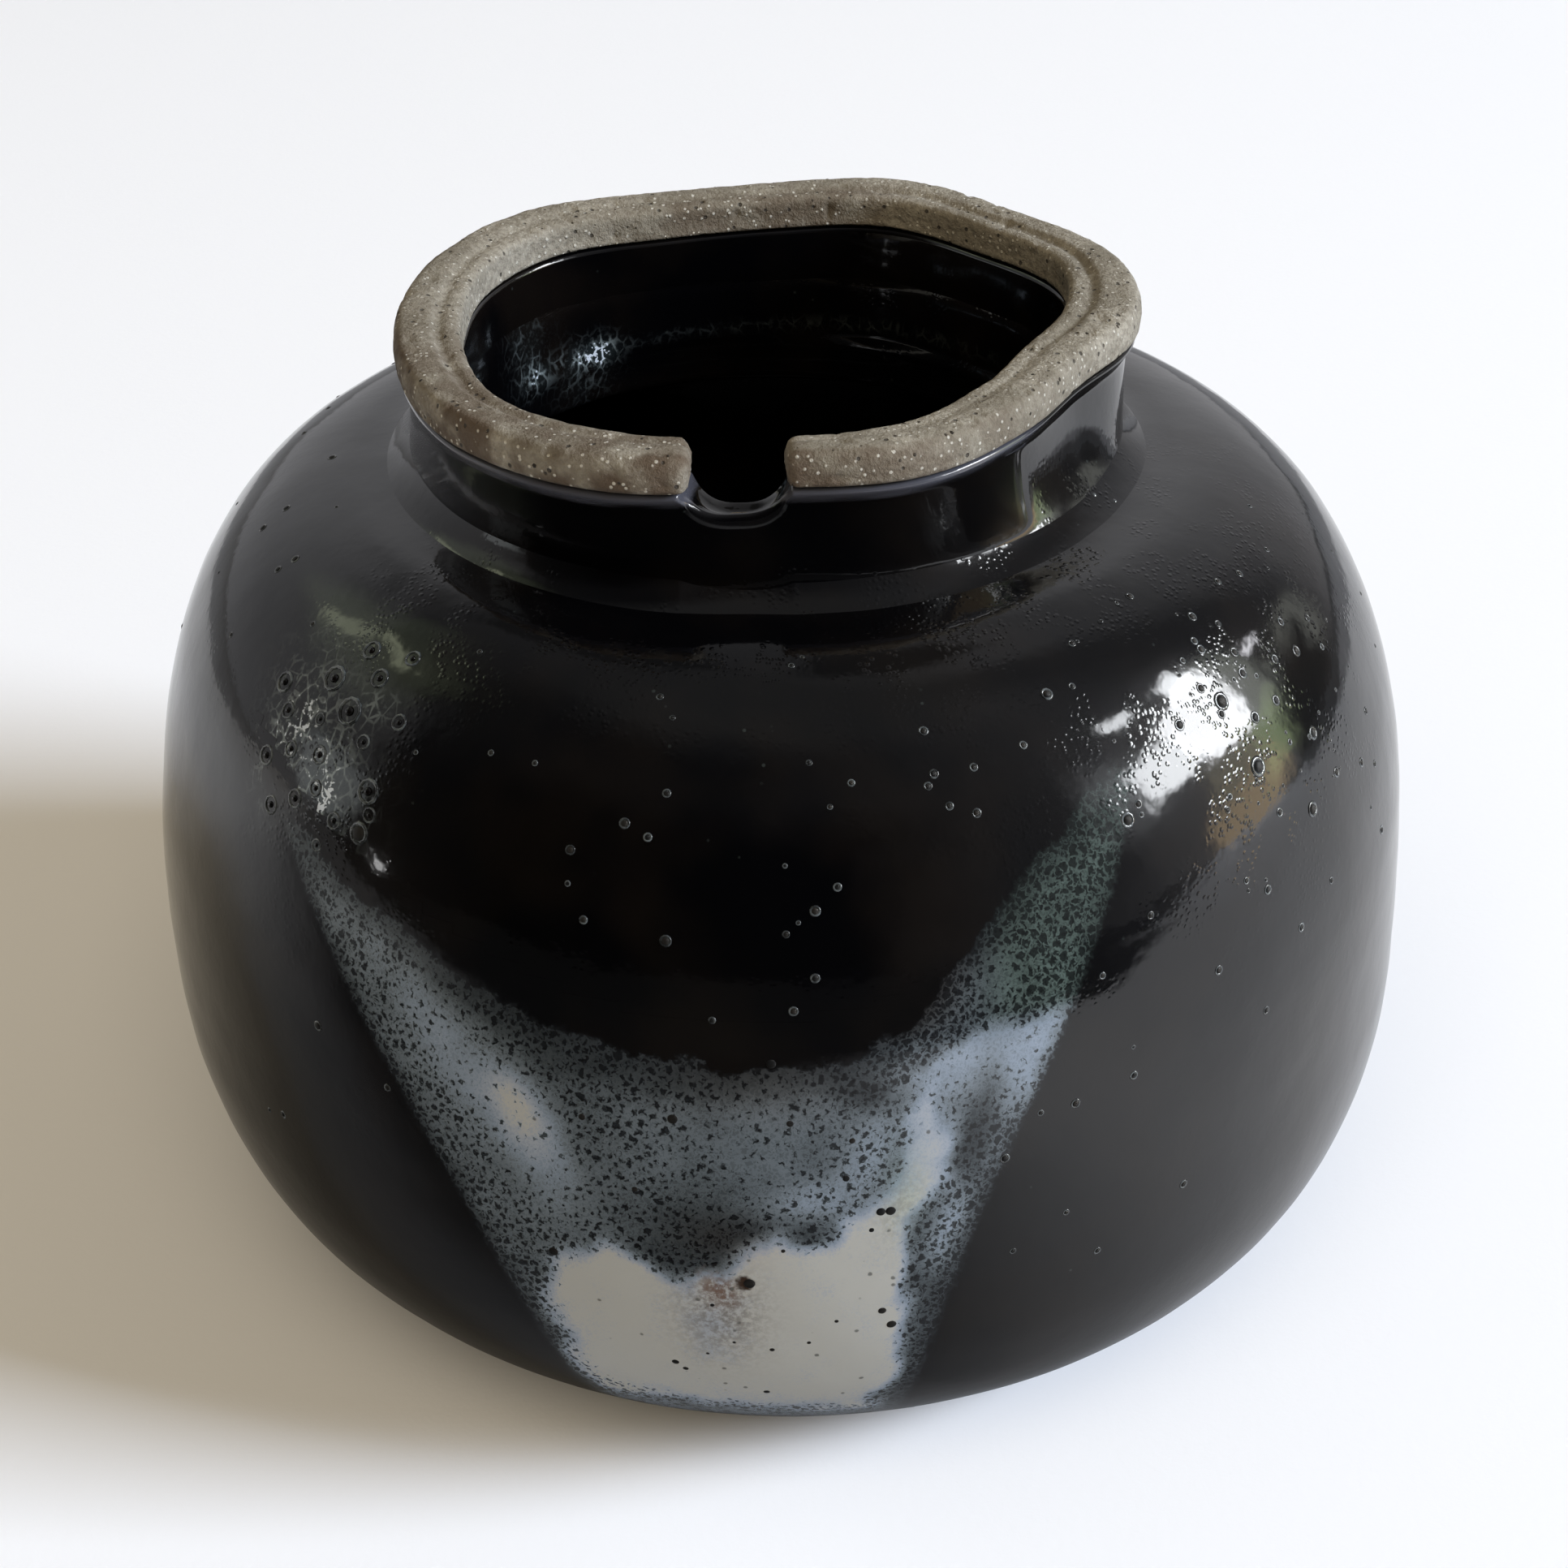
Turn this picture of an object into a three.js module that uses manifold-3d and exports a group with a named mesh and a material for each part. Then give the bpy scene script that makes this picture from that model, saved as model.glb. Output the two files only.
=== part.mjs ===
// A squat hand-built stoneware jar: a round black-glazed body, a short neck, and a thick bare clay
// rim with a gap at the front. Millimetres, +Z up, the foot's plane at z = 0, the gap towards -Y.
import * as THREE from "three";
import { mergeVertices } from "three/addons/utils/BufferGeometryUtils.js";
import Module from "manifold-3d";

// Body
const BODY_RADIUS = 70; // widest, on the glaze
const BELLY_HEIGHT = 38; // height of the widest ring
const BASE_RADIUS = 42; // where the lower wall turns under
const BASE_HEIGHT = 2; // the lower wall's underside above the foot's plane
const SHOULDER_HEIGHT = 92; // the glaze where the neck begins
const LOWER_POWER = 2.25; // superellipse powers: 2 is an ellipse, more is squarer
const UPPER_POWER = 2.35;
const SHOULDER_SWELL = 0.6; // added to the upper power on the side where the shoulder is fullest
const SWELL_ANGLE = 60; // that side's azimuth in degrees

// Layers through the wall, from the outside in
const GLAZE = 0.7;
const CLEARANCE = 0.3; // left between neighbouring solids
const WALL = 5;
const CLAY_OUTER = GLAZE + CLEARANCE;
const CLAY_INNER = CLAY_OUTER + WALL;
const LINING_OUTER = CLAY_INNER + CLEARANCE;
const LINING_INNER = LINING_OUTER + GLAZE;

// Foot and floor
const FOOT_INSET = 1; // the foot's outer face lies this far inside the base
const FOOT_WIDTH = 6;
const FOOT_CHAMFER = 0.8;
const PLUG_RADIUS = 2; // closes the middle of the lining's floor

// Neck
const NECK_RADIUS = 38; // on the glaze, where it leaves the shoulder
const NECK_WALL = 4.4;
const NECK_HEIGHT = 11.8; // from the shoulder to the rim's underside
const NECK_CURVE = 2; // the neck's outside leaves the shoulder in a hollow curve of this power

// Rim: a thick bare strip, laid on the neck
const RIM_OVERHANG = 1.5; // how far it stands out past the glazed neck
const RIM_HEIGHT = 4.2;
const RIM_TOP = SHOULDER_HEIGHT + NECK_HEIGHT + RIM_HEIGHT;
const RIM_TILT = 0.4; // it is this much higher at the back and lower at the front
const RIM_ROUND = 1.4; // rounding of its outer corners
const LIP_ROUND = 1; // rounding of its inner corner
const LIP_DROP = 0.4; // its inner lip lies this much lower than its outer roll
const GROOVE_DEPTH = 0.7; // the line pressed along its top
const GROOVE_HALF = 0.7;
const GROOVE_PLACE = 0.42; // share of the width from the mouth to the pressed line

// The hand-shaped rim in plan: radii at equal steps of azimuth, anticlockwise from +X
const RIM_OUTER = [
  39.2, 40.6, 39.5, 41.2, 36.8, 36.1, 39.1, 38.7,
  38.6, 39.5, 41.2, 41.1, 37.4, 38.0, 35.6, 34.7,
];
const RIM_INNER = [
  30.6, 33.6, 33.0, 34.0, 30.6, 29.8, 32.2, 32.0,
  31.2, 32.2, 34.3, 33.4, 31.8, 31.4, 28.9, 27.6,
];

// The form leans: the foot lies to one side of the body's axis and the neck to the other
const FOOT_SHIFT = 1.25;
const FOOT_SHIFT_TOP = 60; // the foot's shift has faded out at this height
const NECK_SHIFT = -1.35;
const NECK_SHIFT_FROM = 55;

// Gap at the front
const GAP_WIDTH = 8.3;
const GAP_CENTRE_X = -3.9;
const GAP_DEPTH = 7.3; // its floor below the rim's top, cut into the neck
const GAP_ROUND = 1.5;
const GAP_REACH = 25; // how far behind the front the cut begins

// White glaze poured over the front, between two slanting edges that curve outwards as they rise
const POUR_FOOT = 8; // its lowest edge
const POUR_HOLLOW_TOP = SHOULDER_HEIGHT - 31.5; // its upper edge hangs between two arms like a loop
const POUR_LEFT_TOP = SHOULDER_HEIGHT - 17;
const POUR_RIGHT_TOP = SHOULDER_HEIGHT - 10;
const POUR_LEFT_FOOT_ANGLE = -110; // azimuths in degrees
const POUR_LEFT_TOP_ANGLE = -141;
const POUR_RIGHT_FOOT_ANGLE = -79;
const POUR_RIGHT_TOP_ANGLE = -54;
const POUR_EDGE_POWER = 2;
const LEFT_ARM_POWER = 1.6; // how late an arm's inner edge rises
const RIGHT_ARM_POWER = 2.6;

// How finely the forms are cut
const RING_STEPS = 48;
const CURVE_STEPS = 8;
const NECK_STEPS = 5;
const POUR_STEPS = 16;
const GAP_ARC_STEPS = 4;
const MERGE = 1e-4; // points closer than this are one

const clay = new THREE.MeshStandardMaterial({ color: 0x7d7160, roughness: 0.9, metalness: 0 });
const blackGlaze = new THREE.MeshStandardMaterial({ color: 0x0b0a0c, roughness: 0.12, metalness: 0 });
const whiteGlaze = new THREE.MeshStandardMaterial({ color: 0xb9bcb8, roughness: 0.25, metalness: 0 });

const wasm = await Module();
wasm.setup();

const ease = (from, to, x) => {
  const t = Math.min(1, Math.max(0, (x - from) / (to - from)));
  return t * t * (3 - 2 * t);
};
const radians = (degrees) => (degrees * Math.PI) / 180;

// Where the rings' centre lies at a height.
const centreX = (z) =>
  FOOT_SHIFT * (1 - ease(BASE_HEIGHT, FOOT_SHIFT_TOP, z)) +
  NECK_SHIFT * ease(NECK_SHIFT_FROM, SHOULDER_HEIGHT, z);

// A smooth closed curve through values that lie at equal steps round the axis.
function roundValue(values, azimuth) {
  const n = values.length;
  const place = (((azimuth / (2 * Math.PI)) % 1) + 1) % 1;
  const i = Math.floor(place * n);
  const t = place * n - i;
  const [a, b, c, d] = [-1, 0, 1, 2].map((k) => values[(i + k + n) % n]);
  return b + 0.5 * t * (c - a + t * (2 * a - 5 * b + 4 * c - d + t * (3 * (b - c) + d - a)));
}
const rimTop = (azimuth) => RIM_TOP + RIM_TILT * Math.sin(azimuth);
const rimBottom = (azimuth) => rimTop(azimuth) - RIM_HEIGHT;

// The lower wall's curve at a depth below the glaze's surface, from its underside to the belly.
function lowerCurve(depth, steps = CURVE_STEPS) {
  return Array.from({ length: steps + 1 }, (_, i) => {
    const a = (i / steps) * (Math.PI / 2);
    return [
      BASE_RADIUS + (BODY_RADIUS - depth - BASE_RADIUS) * Math.sin(a) ** (2 / LOWER_POWER),
      BELLY_HEIGHT - (BELLY_HEIGHT - BASE_HEIGHT - depth) * Math.cos(a) ** (2 / LOWER_POWER),
    ];
  });
}
// The shoulder's power at an azimuth.
const upperPower = (azimuth) =>
  UPPER_POWER + SHOULDER_SWELL * ((1 + Math.cos(azimuth - radians(SWELL_ANGLE))) / 2) ** 2;

// The shoulder's curve at an azimuth and a depth, from the belly up to the neck.
function upperCurve(azimuth, depth, steps = CURVE_STEPS) {
  const power = upperPower(azimuth);
  return Array.from({ length: steps + 1 }, (_, i) => {
    const a = (i / steps) * (Math.PI / 2);
    return [
      NECK_RADIUS + (BODY_RADIUS - depth - NECK_RADIUS) * Math.cos(a) ** (2 / power),
      BELLY_HEIGHT + (SHOULDER_HEIGHT - depth - BELLY_HEIGHT) * Math.sin(a) ** (2 / power),
    ];
  });
}

// A closed ring swept round the axis: sectionAt(azimuth) gives its outline as [radius, height] points.
function sweep(sectionAt) {
  const steps = RING_STEPS;
  const sections = Array.from({ length: steps }, (_, i) => sectionAt((i / steps) * 2 * Math.PI));
  const n = sections[0].length;
  const points = [];
  sections.forEach((section, i) => {
    const azimuth = (i / steps) * 2 * Math.PI;
    for (const [r, z] of section)
      points.push(centreX(z) + r * Math.cos(azimuth), r * Math.sin(azimuth), z);
  });
  const index = [];
  for (let i = 0; i < steps; i++)
    for (let j = 0; j < n; j++) {
      const [a, b] = [i * n + j, i * n + ((j + 1) % n)];
      const [c, d] = [((i + 1) % steps) * n + j, ((i + 1) % steps) * n + ((j + 1) % n)];
      index.push(a, c, d, a, d, b);
    }
  return fromArrays(points, index);
}

function fromArrays(points, index) {
  const geometry = new THREE.BufferGeometry();
  geometry.setAttribute("position", new THREE.Float32BufferAttribute(points, 3));
  geometry.setIndex(index);
  return geometry;
}

function toSolid(geometry) {
  const bare = geometry.clone();
  bare.deleteAttribute("normal");
  bare.deleteAttribute("uv");
  const merged = mergeVertices(bare, MERGE);
  return new wasm.Manifold(
    new wasm.Mesh({
      numProp: 3,
      vertProperties: merged.attributes.position.array,
      triVerts: new Uint32Array(merged.index.array),
    }),
  );
}
function fromSolid(solid) {
  const mesh = solid.getMesh();
  return fromArrays(Array.from(mesh.vertProperties), Array.from(mesh.triVerts));
}

function piece(name, geometry, material) {
  const mesh = new THREE.Mesh(geometry, material);
  mesh.name = name;
  geometry.computeVertexNormals();
  return mesh;
}

// Foot ring: a trimmed ring with softened edges.
function footRing() {
  const outer = BASE_RADIUS - FOOT_INSET;
  const inner = outer - FOOT_WIDTH;
  const top = BASE_HEIGHT + CLAY_OUTER - CLEARANCE;
  return sweep(() => [
    [outer - FOOT_CHAMFER, 0],
    [outer, FOOT_CHAMFER],
    [outer, top],
    [inner, top],
    [inner, FOOT_CHAMFER],
    [inner + FOOT_CHAMFER, 0],
  ]);
}

// Floor: a disc set inside the lower wall.
function floorDisc() {
  const under = BASE_HEIGHT + CLAY_OUTER;
  const radius = BASE_RADIUS - CLEARANCE;
  const profile = [
    [0, under],
    [radius, under],
    [radius, under + WALL],
    [0, under + WALL],
  ];
  const disc = new THREE.LatheGeometry(profile.map(([r, z]) => new THREE.Vector2(r, z)), RING_STEPS);
  disc.rotateX(Math.PI / 2);
  disc.translate(centreX(under), 0, 0);
  return disc;
}

const lowerWall = () =>
  sweep(() => [...lowerCurve(CLAY_OUTER), ...lowerCurve(CLAY_INNER).reverse()]);

// Shoulder: rises from the belly and ends in a flat seat for the neck.
const neckInner = NECK_RADIUS - CLAY_OUTER - NECK_WALL;
function shoulderWall() {
  const lift = ([r, z], i) => [r, i === 0 ? z + CLEARANCE : z];
  return sweep((azimuth) => [
    ...upperCurve(azimuth, CLAY_OUTER).map(lift),
    [neckInner, SHOULDER_HEIGHT - CLAY_OUTER],
    [neckInner, SHOULDER_HEIGHT - CLAY_INNER],
    ...upperCurve(azimuth, CLAY_INNER).map(lift).reverse(),
  ]);
}

// The neck's outside and inside at a depth, from a height above the shoulder to just under the rim.
function neckFace(azimuth, depth, foot) {
  const head = roundValue(RIM_OUTER, azimuth) - RIM_OVERHANG;
  const top = rimBottom(azimuth) - CLEARANCE;
  return Array.from({ length: NECK_STEPS + 1 }, (_, i) => {
    const t = i / NECK_STEPS;
    return [head + (NECK_RADIUS - head) * (1 - t) ** NECK_CURVE - depth, foot + (top - foot) * t];
  });
}
function neckLining(azimuth, depth, foot) {
  const head = roundValue(RIM_INNER, azimuth) + CLAY_OUTER;
  const top = rimBottom(azimuth) - CLEARANCE;
  return Array.from({ length: NECK_STEPS + 1 }, (_, i) => {
    const t = i / NECK_STEPS;
    return [neckInner + (head - neckInner) * t - depth, foot + (top - foot) * t];
  });
}
const neckFoot = SHOULDER_HEIGHT - CLAY_OUTER + CLEARANCE;

function neckCollar() {
  return sweep((azimuth) => [
    ...neckFace(azimuth, CLAY_OUTER, neckFoot),
    ...neckLining(azimuth, 0, neckFoot).reverse(),
  ]);
}

// Rim: an outer roll and a lower inner lip, with the pressed line between them.
function rimStrip() {
  return sweep((azimuth) => {
    const [outer, inner] = [roundValue(RIM_OUTER, azimuth), roundValue(RIM_INNER, azimuth)];
    const [top, bottom] = [rimTop(azimuth), rimBottom(azimuth)];
    const groove = inner + (outer - inner) * GROOVE_PLACE;
    const lip = top - LIP_DROP;
    return [
      [outer - RIM_ROUND, bottom],
      [outer, bottom + RIM_ROUND],
      [outer, top - RIM_ROUND],
      [outer - RIM_ROUND, top],
      [groove + GROOVE_HALF, top],
      [groove, top - GROOVE_DEPTH],
      [groove - GROOVE_HALF, lip],
      [inner + LIP_ROUND, lip],
      [inner, lip - LIP_ROUND],
      [inner, bottom],
    ];
  });
}

// Outside glaze: from the base over the belly and the shoulder to just under the rim.
function outerGlaze() {
  return sweep((azimuth) => [
    ...lowerCurve(0),
    ...upperCurve(azimuth, 0).slice(1),
    ...neckFace(azimuth, 0, SHOULDER_HEIGHT + CLEARANCE).slice(1),
    ...neckFace(azimuth, GLAZE, SHOULDER_HEIGHT - GLAZE).reverse(),
    ...upperCurve(azimuth, GLAZE).slice(1, -1).reverse(),
    ...lowerCurve(GLAZE).reverse(),
  ]);
}

// Lining: the same glaze over the inside, with its floor closed.
function innerGlaze() {
  const floor = BASE_HEIGHT + LINING_OUTER;
  const edge = PLUG_RADIUS / 2;
  const wall = sweep((azimuth) => [
    [edge, floor],
    ...lowerCurve(LINING_OUTER),
    ...upperCurve(azimuth, LINING_OUTER).slice(1),
    [neckInner - CLEARANCE, SHOULDER_HEIGHT - LINING_OUTER],
    ...neckLining(azimuth, CLEARANCE, neckFoot),
    ...neckLining(azimuth, CLEARANCE + GLAZE, neckFoot).reverse(),
    [neckInner - CLEARANCE - GLAZE, SHOULDER_HEIGHT - LINING_INNER],
    ...upperCurve(azimuth, LINING_INNER).slice(1).reverse(),
    ...lowerCurve(LINING_INNER).reverse(),
    [edge, floor + GLAZE],
  ]);
  const plug = new THREE.CylinderGeometry(PLUG_RADIUS, PLUG_RADIUS, GLAZE, RING_STEPS);
  plug.rotateX(Math.PI / 2);
  plug.translate(centreX(floor), 0, floor + GLAZE / 2);
  return fromSolid(toSolid(wall).add(toSolid(plug)));
}

// The gap's outline in the XZ plane: open above, with rounded lower corners.
function gapShape(grow) {
  const half = GAP_WIDTH / 2 + grow;
  const floor = RIM_TOP - GAP_DEPTH - grow;
  const round = GAP_ROUND + grow;
  const top = RIM_TOP + RIM_HEIGHT;
  const shape = new THREE.Shape();
  shape.moveTo(-half, top);
  shape.lineTo(-half, floor + round);
  shape.absarc(-half + round, floor + round, round, Math.PI, 1.5 * Math.PI, false);
  shape.absarc(half - round, floor + round, round, 1.5 * Math.PI, 2 * Math.PI, false);
  shape.lineTo(half, top);
  shape.closePath();
  return shape;
}
// A bar of the gap's outline that runs from behind the rim to past its front.
function gapCutter(grow, from = -GAP_REACH, to = -BODY_RADIUS) {
  const bar = new THREE.ExtrudeGeometry(gapShape(grow), {
    depth: from - to,
    bevelEnabled: false,
    curveSegments: GAP_ARC_STEPS,
  });
  bar.rotateX(Math.PI / 2);
  bar.translate(GAP_CENTRE_X, from, 0);
  return toSolid(bar);
}
const cutGap = (geometry, grow) => fromSolid(toSolid(geometry).subtract(gapCutter(grow)));

// Glaze that lines the gap where it is cut into the neck, from the outside glaze to the lining.
function gapLining() {
  const south = -Math.PI / 2;
  const front = roundValue(RIM_OUTER, south) - RIM_OVERHANG;
  const back = roundValue(RIM_INNER, south) + GLAZE;
  const skin = gapCutter(GLAZE, -back, -front).subtract(gapCutter(0));
  const slab = new THREE.BoxGeometry(2 * BODY_RADIUS, 2 * BODY_RADIUS, RIM_TOP);
  const underRim = rimBottom(south) - CLEARANCE;
  slab.translate(0, 0, underRim - RIM_TOP / 2);
  return fromSolid(skin.intersect(toSolid(slab)));
}

// The body's radius at an azimuth and a height, on a surface that lies at a depth below the glaze.
function bodyRadius(azimuth, z, depth) {
  if (z < BELLY_HEIGHT) {
    const t = (BELLY_HEIGHT - z) / (BELLY_HEIGHT - BASE_HEIGHT - depth);
    return BASE_RADIUS + (BODY_RADIUS - depth - BASE_RADIUS) * (1 - t ** LOWER_POWER) ** (1 / LOWER_POWER);
  }
  const t = (z - BELLY_HEIGHT) / (SHOULDER_HEIGHT - depth - BELLY_HEIGHT);
  const power = upperPower(azimuth);
  return NECK_RADIUS + (BODY_RADIUS - depth - NECK_RADIUS) * (1 - t ** power) ** (1 / power);
}

// The pour's slanting edge: its azimuth in degrees at a height.
const pourEdge = (z, footAngle, topAngle, top) =>
  footAngle + (topAngle - footAngle) * ((z - POUR_FOOT) / (top - POUR_FOOT)) ** POUR_EDGE_POWER;

// The pour's upper edge across its width, u from 0 at the left arm to 1 at the right arm.
const pourTop = (u) =>
  u < 0.5
    ? POUR_HOLLOW_TOP + (POUR_LEFT_TOP - POUR_HOLLOW_TOP) * (1 - 2 * u) ** LEFT_ARM_POWER
    : POUR_HOLLOW_TOP + (POUR_RIGHT_TOP - POUR_HOLLOW_TOP) * (2 * u - 1) ** RIGHT_ARM_POWER;

// The pour: a curved patch from one depth to another, its edges moved out by grow.
function pourSolid(grow, outerDepth, innerDepth) {
  const n = POUR_STEPS;
  const corner = (i, j, depth) => {
    // finer steps towards the edges, where the body curves most
    const [v, u] = [i, j].map((k) => (1 - Math.cos((Math.PI * k) / n)) / 2);
    const height = POUR_FOOT + (pourTop(u) - POUR_FOOT) * v;
    const z = height + grow * (2 * v - 1);
    const left = pourEdge(height, POUR_LEFT_FOOT_ANGLE, POUR_LEFT_TOP_ANGLE, POUR_LEFT_TOP);
    const right = pourEdge(height, POUR_RIGHT_FOOT_ANGLE, POUR_RIGHT_TOP_ANGLE, POUR_RIGHT_TOP);
    const middle = radians(left + (right - left) * u);
    const r = bodyRadius(middle, z, depth);
    const azimuth = middle + ((2 * u - 1) * grow) / r;
    return [centreX(z) + r * Math.cos(azimuth), r * Math.sin(azimuth), z];
  };
  const points = [];
  const at = (i, j, side) => (side * (n + 1) + i) * (n + 1) + j;
  for (const depth of [outerDepth, innerDepth])
    for (let i = 0; i <= n; i++)
      for (let j = 0; j <= n; j++) points.push(...corner(i, j, depth));
  const index = [];
  const quad = (a, b, c, d) => index.push(a, b, c, a, c, d);
  for (let i = 0; i < n; i++)
    for (let j = 0; j < n; j++) {
      const [a, b, c, d] = [[i, j], [i, j + 1], [i + 1, j + 1], [i + 1, j]];
      // each arm slants its own way, so a face is split along its short diagonal
      const corners = j < n / 2 ? [a, b, c, d] : [b, c, d, a];
      quad(...corners.map((k) => at(...k, 0)));
      quad(...corners.map((k) => at(...k, 1)).reverse());
    }
  for (let i = 0; i < n; i++) {
    quad(at(i, 0, 0), at(i + 1, 0, 0), at(i + 1, 0, 1), at(i, 0, 1));
    quad(at(i, n, 0), at(i, n, 1), at(i + 1, n, 1), at(i + 1, n, 0));
    quad(at(0, i, 0), at(0, i, 1), at(0, i + 1, 1), at(0, i + 1, 0));
    quad(at(n, i, 0), at(n, i + 1, 0), at(n, i + 1, 1), at(n, i, 1));
  }
  return toSolid(fromArrays(points, index));
}

const glazeSolid = toSolid(outerGlaze())
  .subtract(gapCutter(GLAZE + CLEARANCE))
  .subtract(pourSolid(CLEARANCE, -GLAZE, 2 * GLAZE));

const jar = new THREE.Group();
jar.add(
  piece("foot_ring", footRing(), clay),
  piece("floor_disc", floorDisc(), clay),
  piece("lower_wall", lowerWall(), clay),
  piece("shoulder_wall", shoulderWall(), clay),
  piece("neck_collar", cutGap(neckCollar(), GLAZE + CLEARANCE), clay),
  piece("rim_strip", cutGap(rimStrip(), 0), clay),
  piece("outer_glaze", fromSolid(glazeSolid), blackGlaze),
  piece("inner_glaze", cutGap(innerGlaze(), GLAZE + CLEARANCE), blackGlaze),
  piece("gap_glaze", gapLining(), blackGlaze),
  piece("white_pour", fromSolid(pourSolid(0, 0, GLAZE)), whiteGlaze),
);

export default jar;
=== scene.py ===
"""Dresses the glazed stoneware jar: glaze, rim, foot, pinholes and bubbles, then floor, light and camera.

Sizes are millimetres until a mesh is made. Azimuths go anticlockwise from +X round the body's centre.
"""

import math

import bpy
import numpy as np
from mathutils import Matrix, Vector, noise


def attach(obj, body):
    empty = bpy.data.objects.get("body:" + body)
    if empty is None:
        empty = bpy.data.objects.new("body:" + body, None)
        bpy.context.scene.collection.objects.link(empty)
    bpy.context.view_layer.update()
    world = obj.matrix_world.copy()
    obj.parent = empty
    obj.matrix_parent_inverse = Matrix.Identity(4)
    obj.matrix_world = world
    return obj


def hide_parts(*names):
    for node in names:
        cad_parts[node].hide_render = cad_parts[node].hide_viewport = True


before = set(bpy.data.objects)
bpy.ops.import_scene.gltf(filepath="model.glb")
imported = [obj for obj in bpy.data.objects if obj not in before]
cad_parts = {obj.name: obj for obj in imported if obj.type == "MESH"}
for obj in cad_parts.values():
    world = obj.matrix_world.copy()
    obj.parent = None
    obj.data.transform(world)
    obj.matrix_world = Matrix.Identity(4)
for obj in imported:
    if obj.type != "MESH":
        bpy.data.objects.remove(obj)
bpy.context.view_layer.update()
scene = bpy.context.scene

MM = 0.001

# Body
BODY_RADIUS = 70
BELLY_HEIGHT = 38
BASE_RADIUS = 42
BASE_HEIGHT = 2
SHOULDER_HEIGHT = 92
LOWER_POWER = 2.25
UPPER_POWER = 2.35
SHOULDER_SWELL = 0.6
SWELL_ANGLE = 60
FOOT_SHIFT = 1.25
NECK_SHIFT = -1.35

# Layers through the wall
COAT = 0.7
LINING_DEPTH = 7.0
FLOOR_TOP = 9.0

# Foot
FOOT_OUTER = 41
FOOT_WIDTH = 6
FOOT_TOP = 2.7

# Neck and rim
NECK_RADIUS = 38
NECK_HEIGHT = 11.8
NECK_INNER = 31.6
RIM_OVERHANG = 1.5
RIM_HEIGHT = 4.2
RIM_TOP = SHOULDER_HEIGHT + NECK_HEIGHT + RIM_HEIGHT
RIM_TILT = 0.4
RIM_OUTER = [39.2, 40.6, 39.5, 41.2, 36.8, 36.1, 39.1, 38.7, 38.6, 39.5, 41.2, 41.1, 37.4, 38.0, 35.6, 34.7]
RIM_INNER = [30.6, 33.6, 33.0, 34.0, 30.6, 29.8, 32.2, 32.0, 31.2, 32.2, 34.3, 33.4, 31.8, 31.4, 28.9, 27.6]

# Inside the neck: where the coat ends and the lining begins, and the length over which the throat widens
COAT_END = 96.5
LINING_START = 99
THROAT_LENGTH = 18
THROAT_FOOT = 86

# Gap at the front, and the radius at which its width is taken on the neck and on the rim
GAP_WIDTH = 8.3
GAP_CENTRE = -3.9
GAP_FLOOR = RIM_TOP - 7.3
EDGE_RADIUS = 36
END_RADIUS = 34.5

# White pour
POUR_FOOT = 8
POUR_HOLLOW = SHOULDER_HEIGHT - 31.5
LEFT_TOP = SHOULDER_HEIGHT - 17
RIGHT_TOP = SHOULDER_HEIGHT - 10
LEFT_ANGLES = (-110, -141)
RIGHT_ANGLES = (-79, -54)
LEFT_ARM_POWER = 1.6
# The right arm's upper edge: how far across the pour, and how high
RIGHT_ARM = [
    (0.5, POUR_HOLLOW), (0.6, POUR_HOLLOW), (0.7, 61.2), (0.77, 63.5), (0.81, 68.3), (0.85, 73.5),
    (0.89, 77.2), (0.94, 80.6), (1.0, RIGHT_TOP),
]

# Meshes
COLUMNS = 500
BODY_ROWS = 118
NECK_ROWS = 26
RIM_STATIONS = 600
RIM_POINTS = 56


def ease(low, high, x):
    """0 below low, 1 above high, and a smooth rise between them."""
    t = np.clip((x - low) / (high - low), 0, 1)
    return t * t * (3 - 2 * t)


def between(x, rise, fall):
    """1 between a rise from 0 and a fall back to it, each over two limits."""
    return ease(*rise, x) * ease(*fall, x)


def centre_x(z):
    """Where the rings' centre lies at a height."""
    return FOOT_SHIFT * (1 - ease(BASE_HEIGHT, 60, z)) + NECK_SHIFT * ease(55, SHOULDER_HEIGHT, z)


def round_value(values, azimuth):
    """A smooth closed curve through values at equal steps round the axis."""
    values = np.array(values)
    n = len(values)
    place = (azimuth / (2 * np.pi)) % 1 * n
    i = np.floor(place).astype(int)
    t = place - i
    a, b, c, d = [values[(i + k) % n] for k in (-1, 0, 1, 2)]
    return b + 0.5 * t * (c - a + t * (2 * a - 5 * b + 4 * c - d + t * (3 * (b - c) + d - a)))


def rim_top(azimuth):
    """The rim's height, a little more at the back."""
    return RIM_TOP + RIM_TILT * np.sin(azimuth)


def rim_bottom(azimuth):
    return rim_top(azimuth) - RIM_HEIGHT


def body_curve(azimuth, depth, samples=400):
    """The body's outline from the base to the neck, on a surface at a depth below the glaze's face."""
    a = np.linspace(0, np.pi / 2, samples)
    power = UPPER_POWER + SHOULDER_SWELL * ((1 + np.cos(azimuth - math.radians(SWELL_ANGLE))) / 2) ** 2
    low_r = BASE_RADIUS + (BODY_RADIUS - depth - BASE_RADIUS) * np.sin(a) ** (2 / LOWER_POWER)
    low_z = BELLY_HEIGHT - (BELLY_HEIGHT - BASE_HEIGHT - depth) * np.cos(a) ** (2 / LOWER_POWER)
    high_r = NECK_RADIUS + (BODY_RADIUS - depth - NECK_RADIUS) * np.cos(a) ** (2 / power)
    high_z = BELLY_HEIGHT + (SHOULDER_HEIGHT - depth - BELLY_HEIGHT) * np.sin(a) ** (2 / power)
    return np.concatenate([low_r, high_r[1:]]), np.concatenate([low_z, high_z[1:]])


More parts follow.
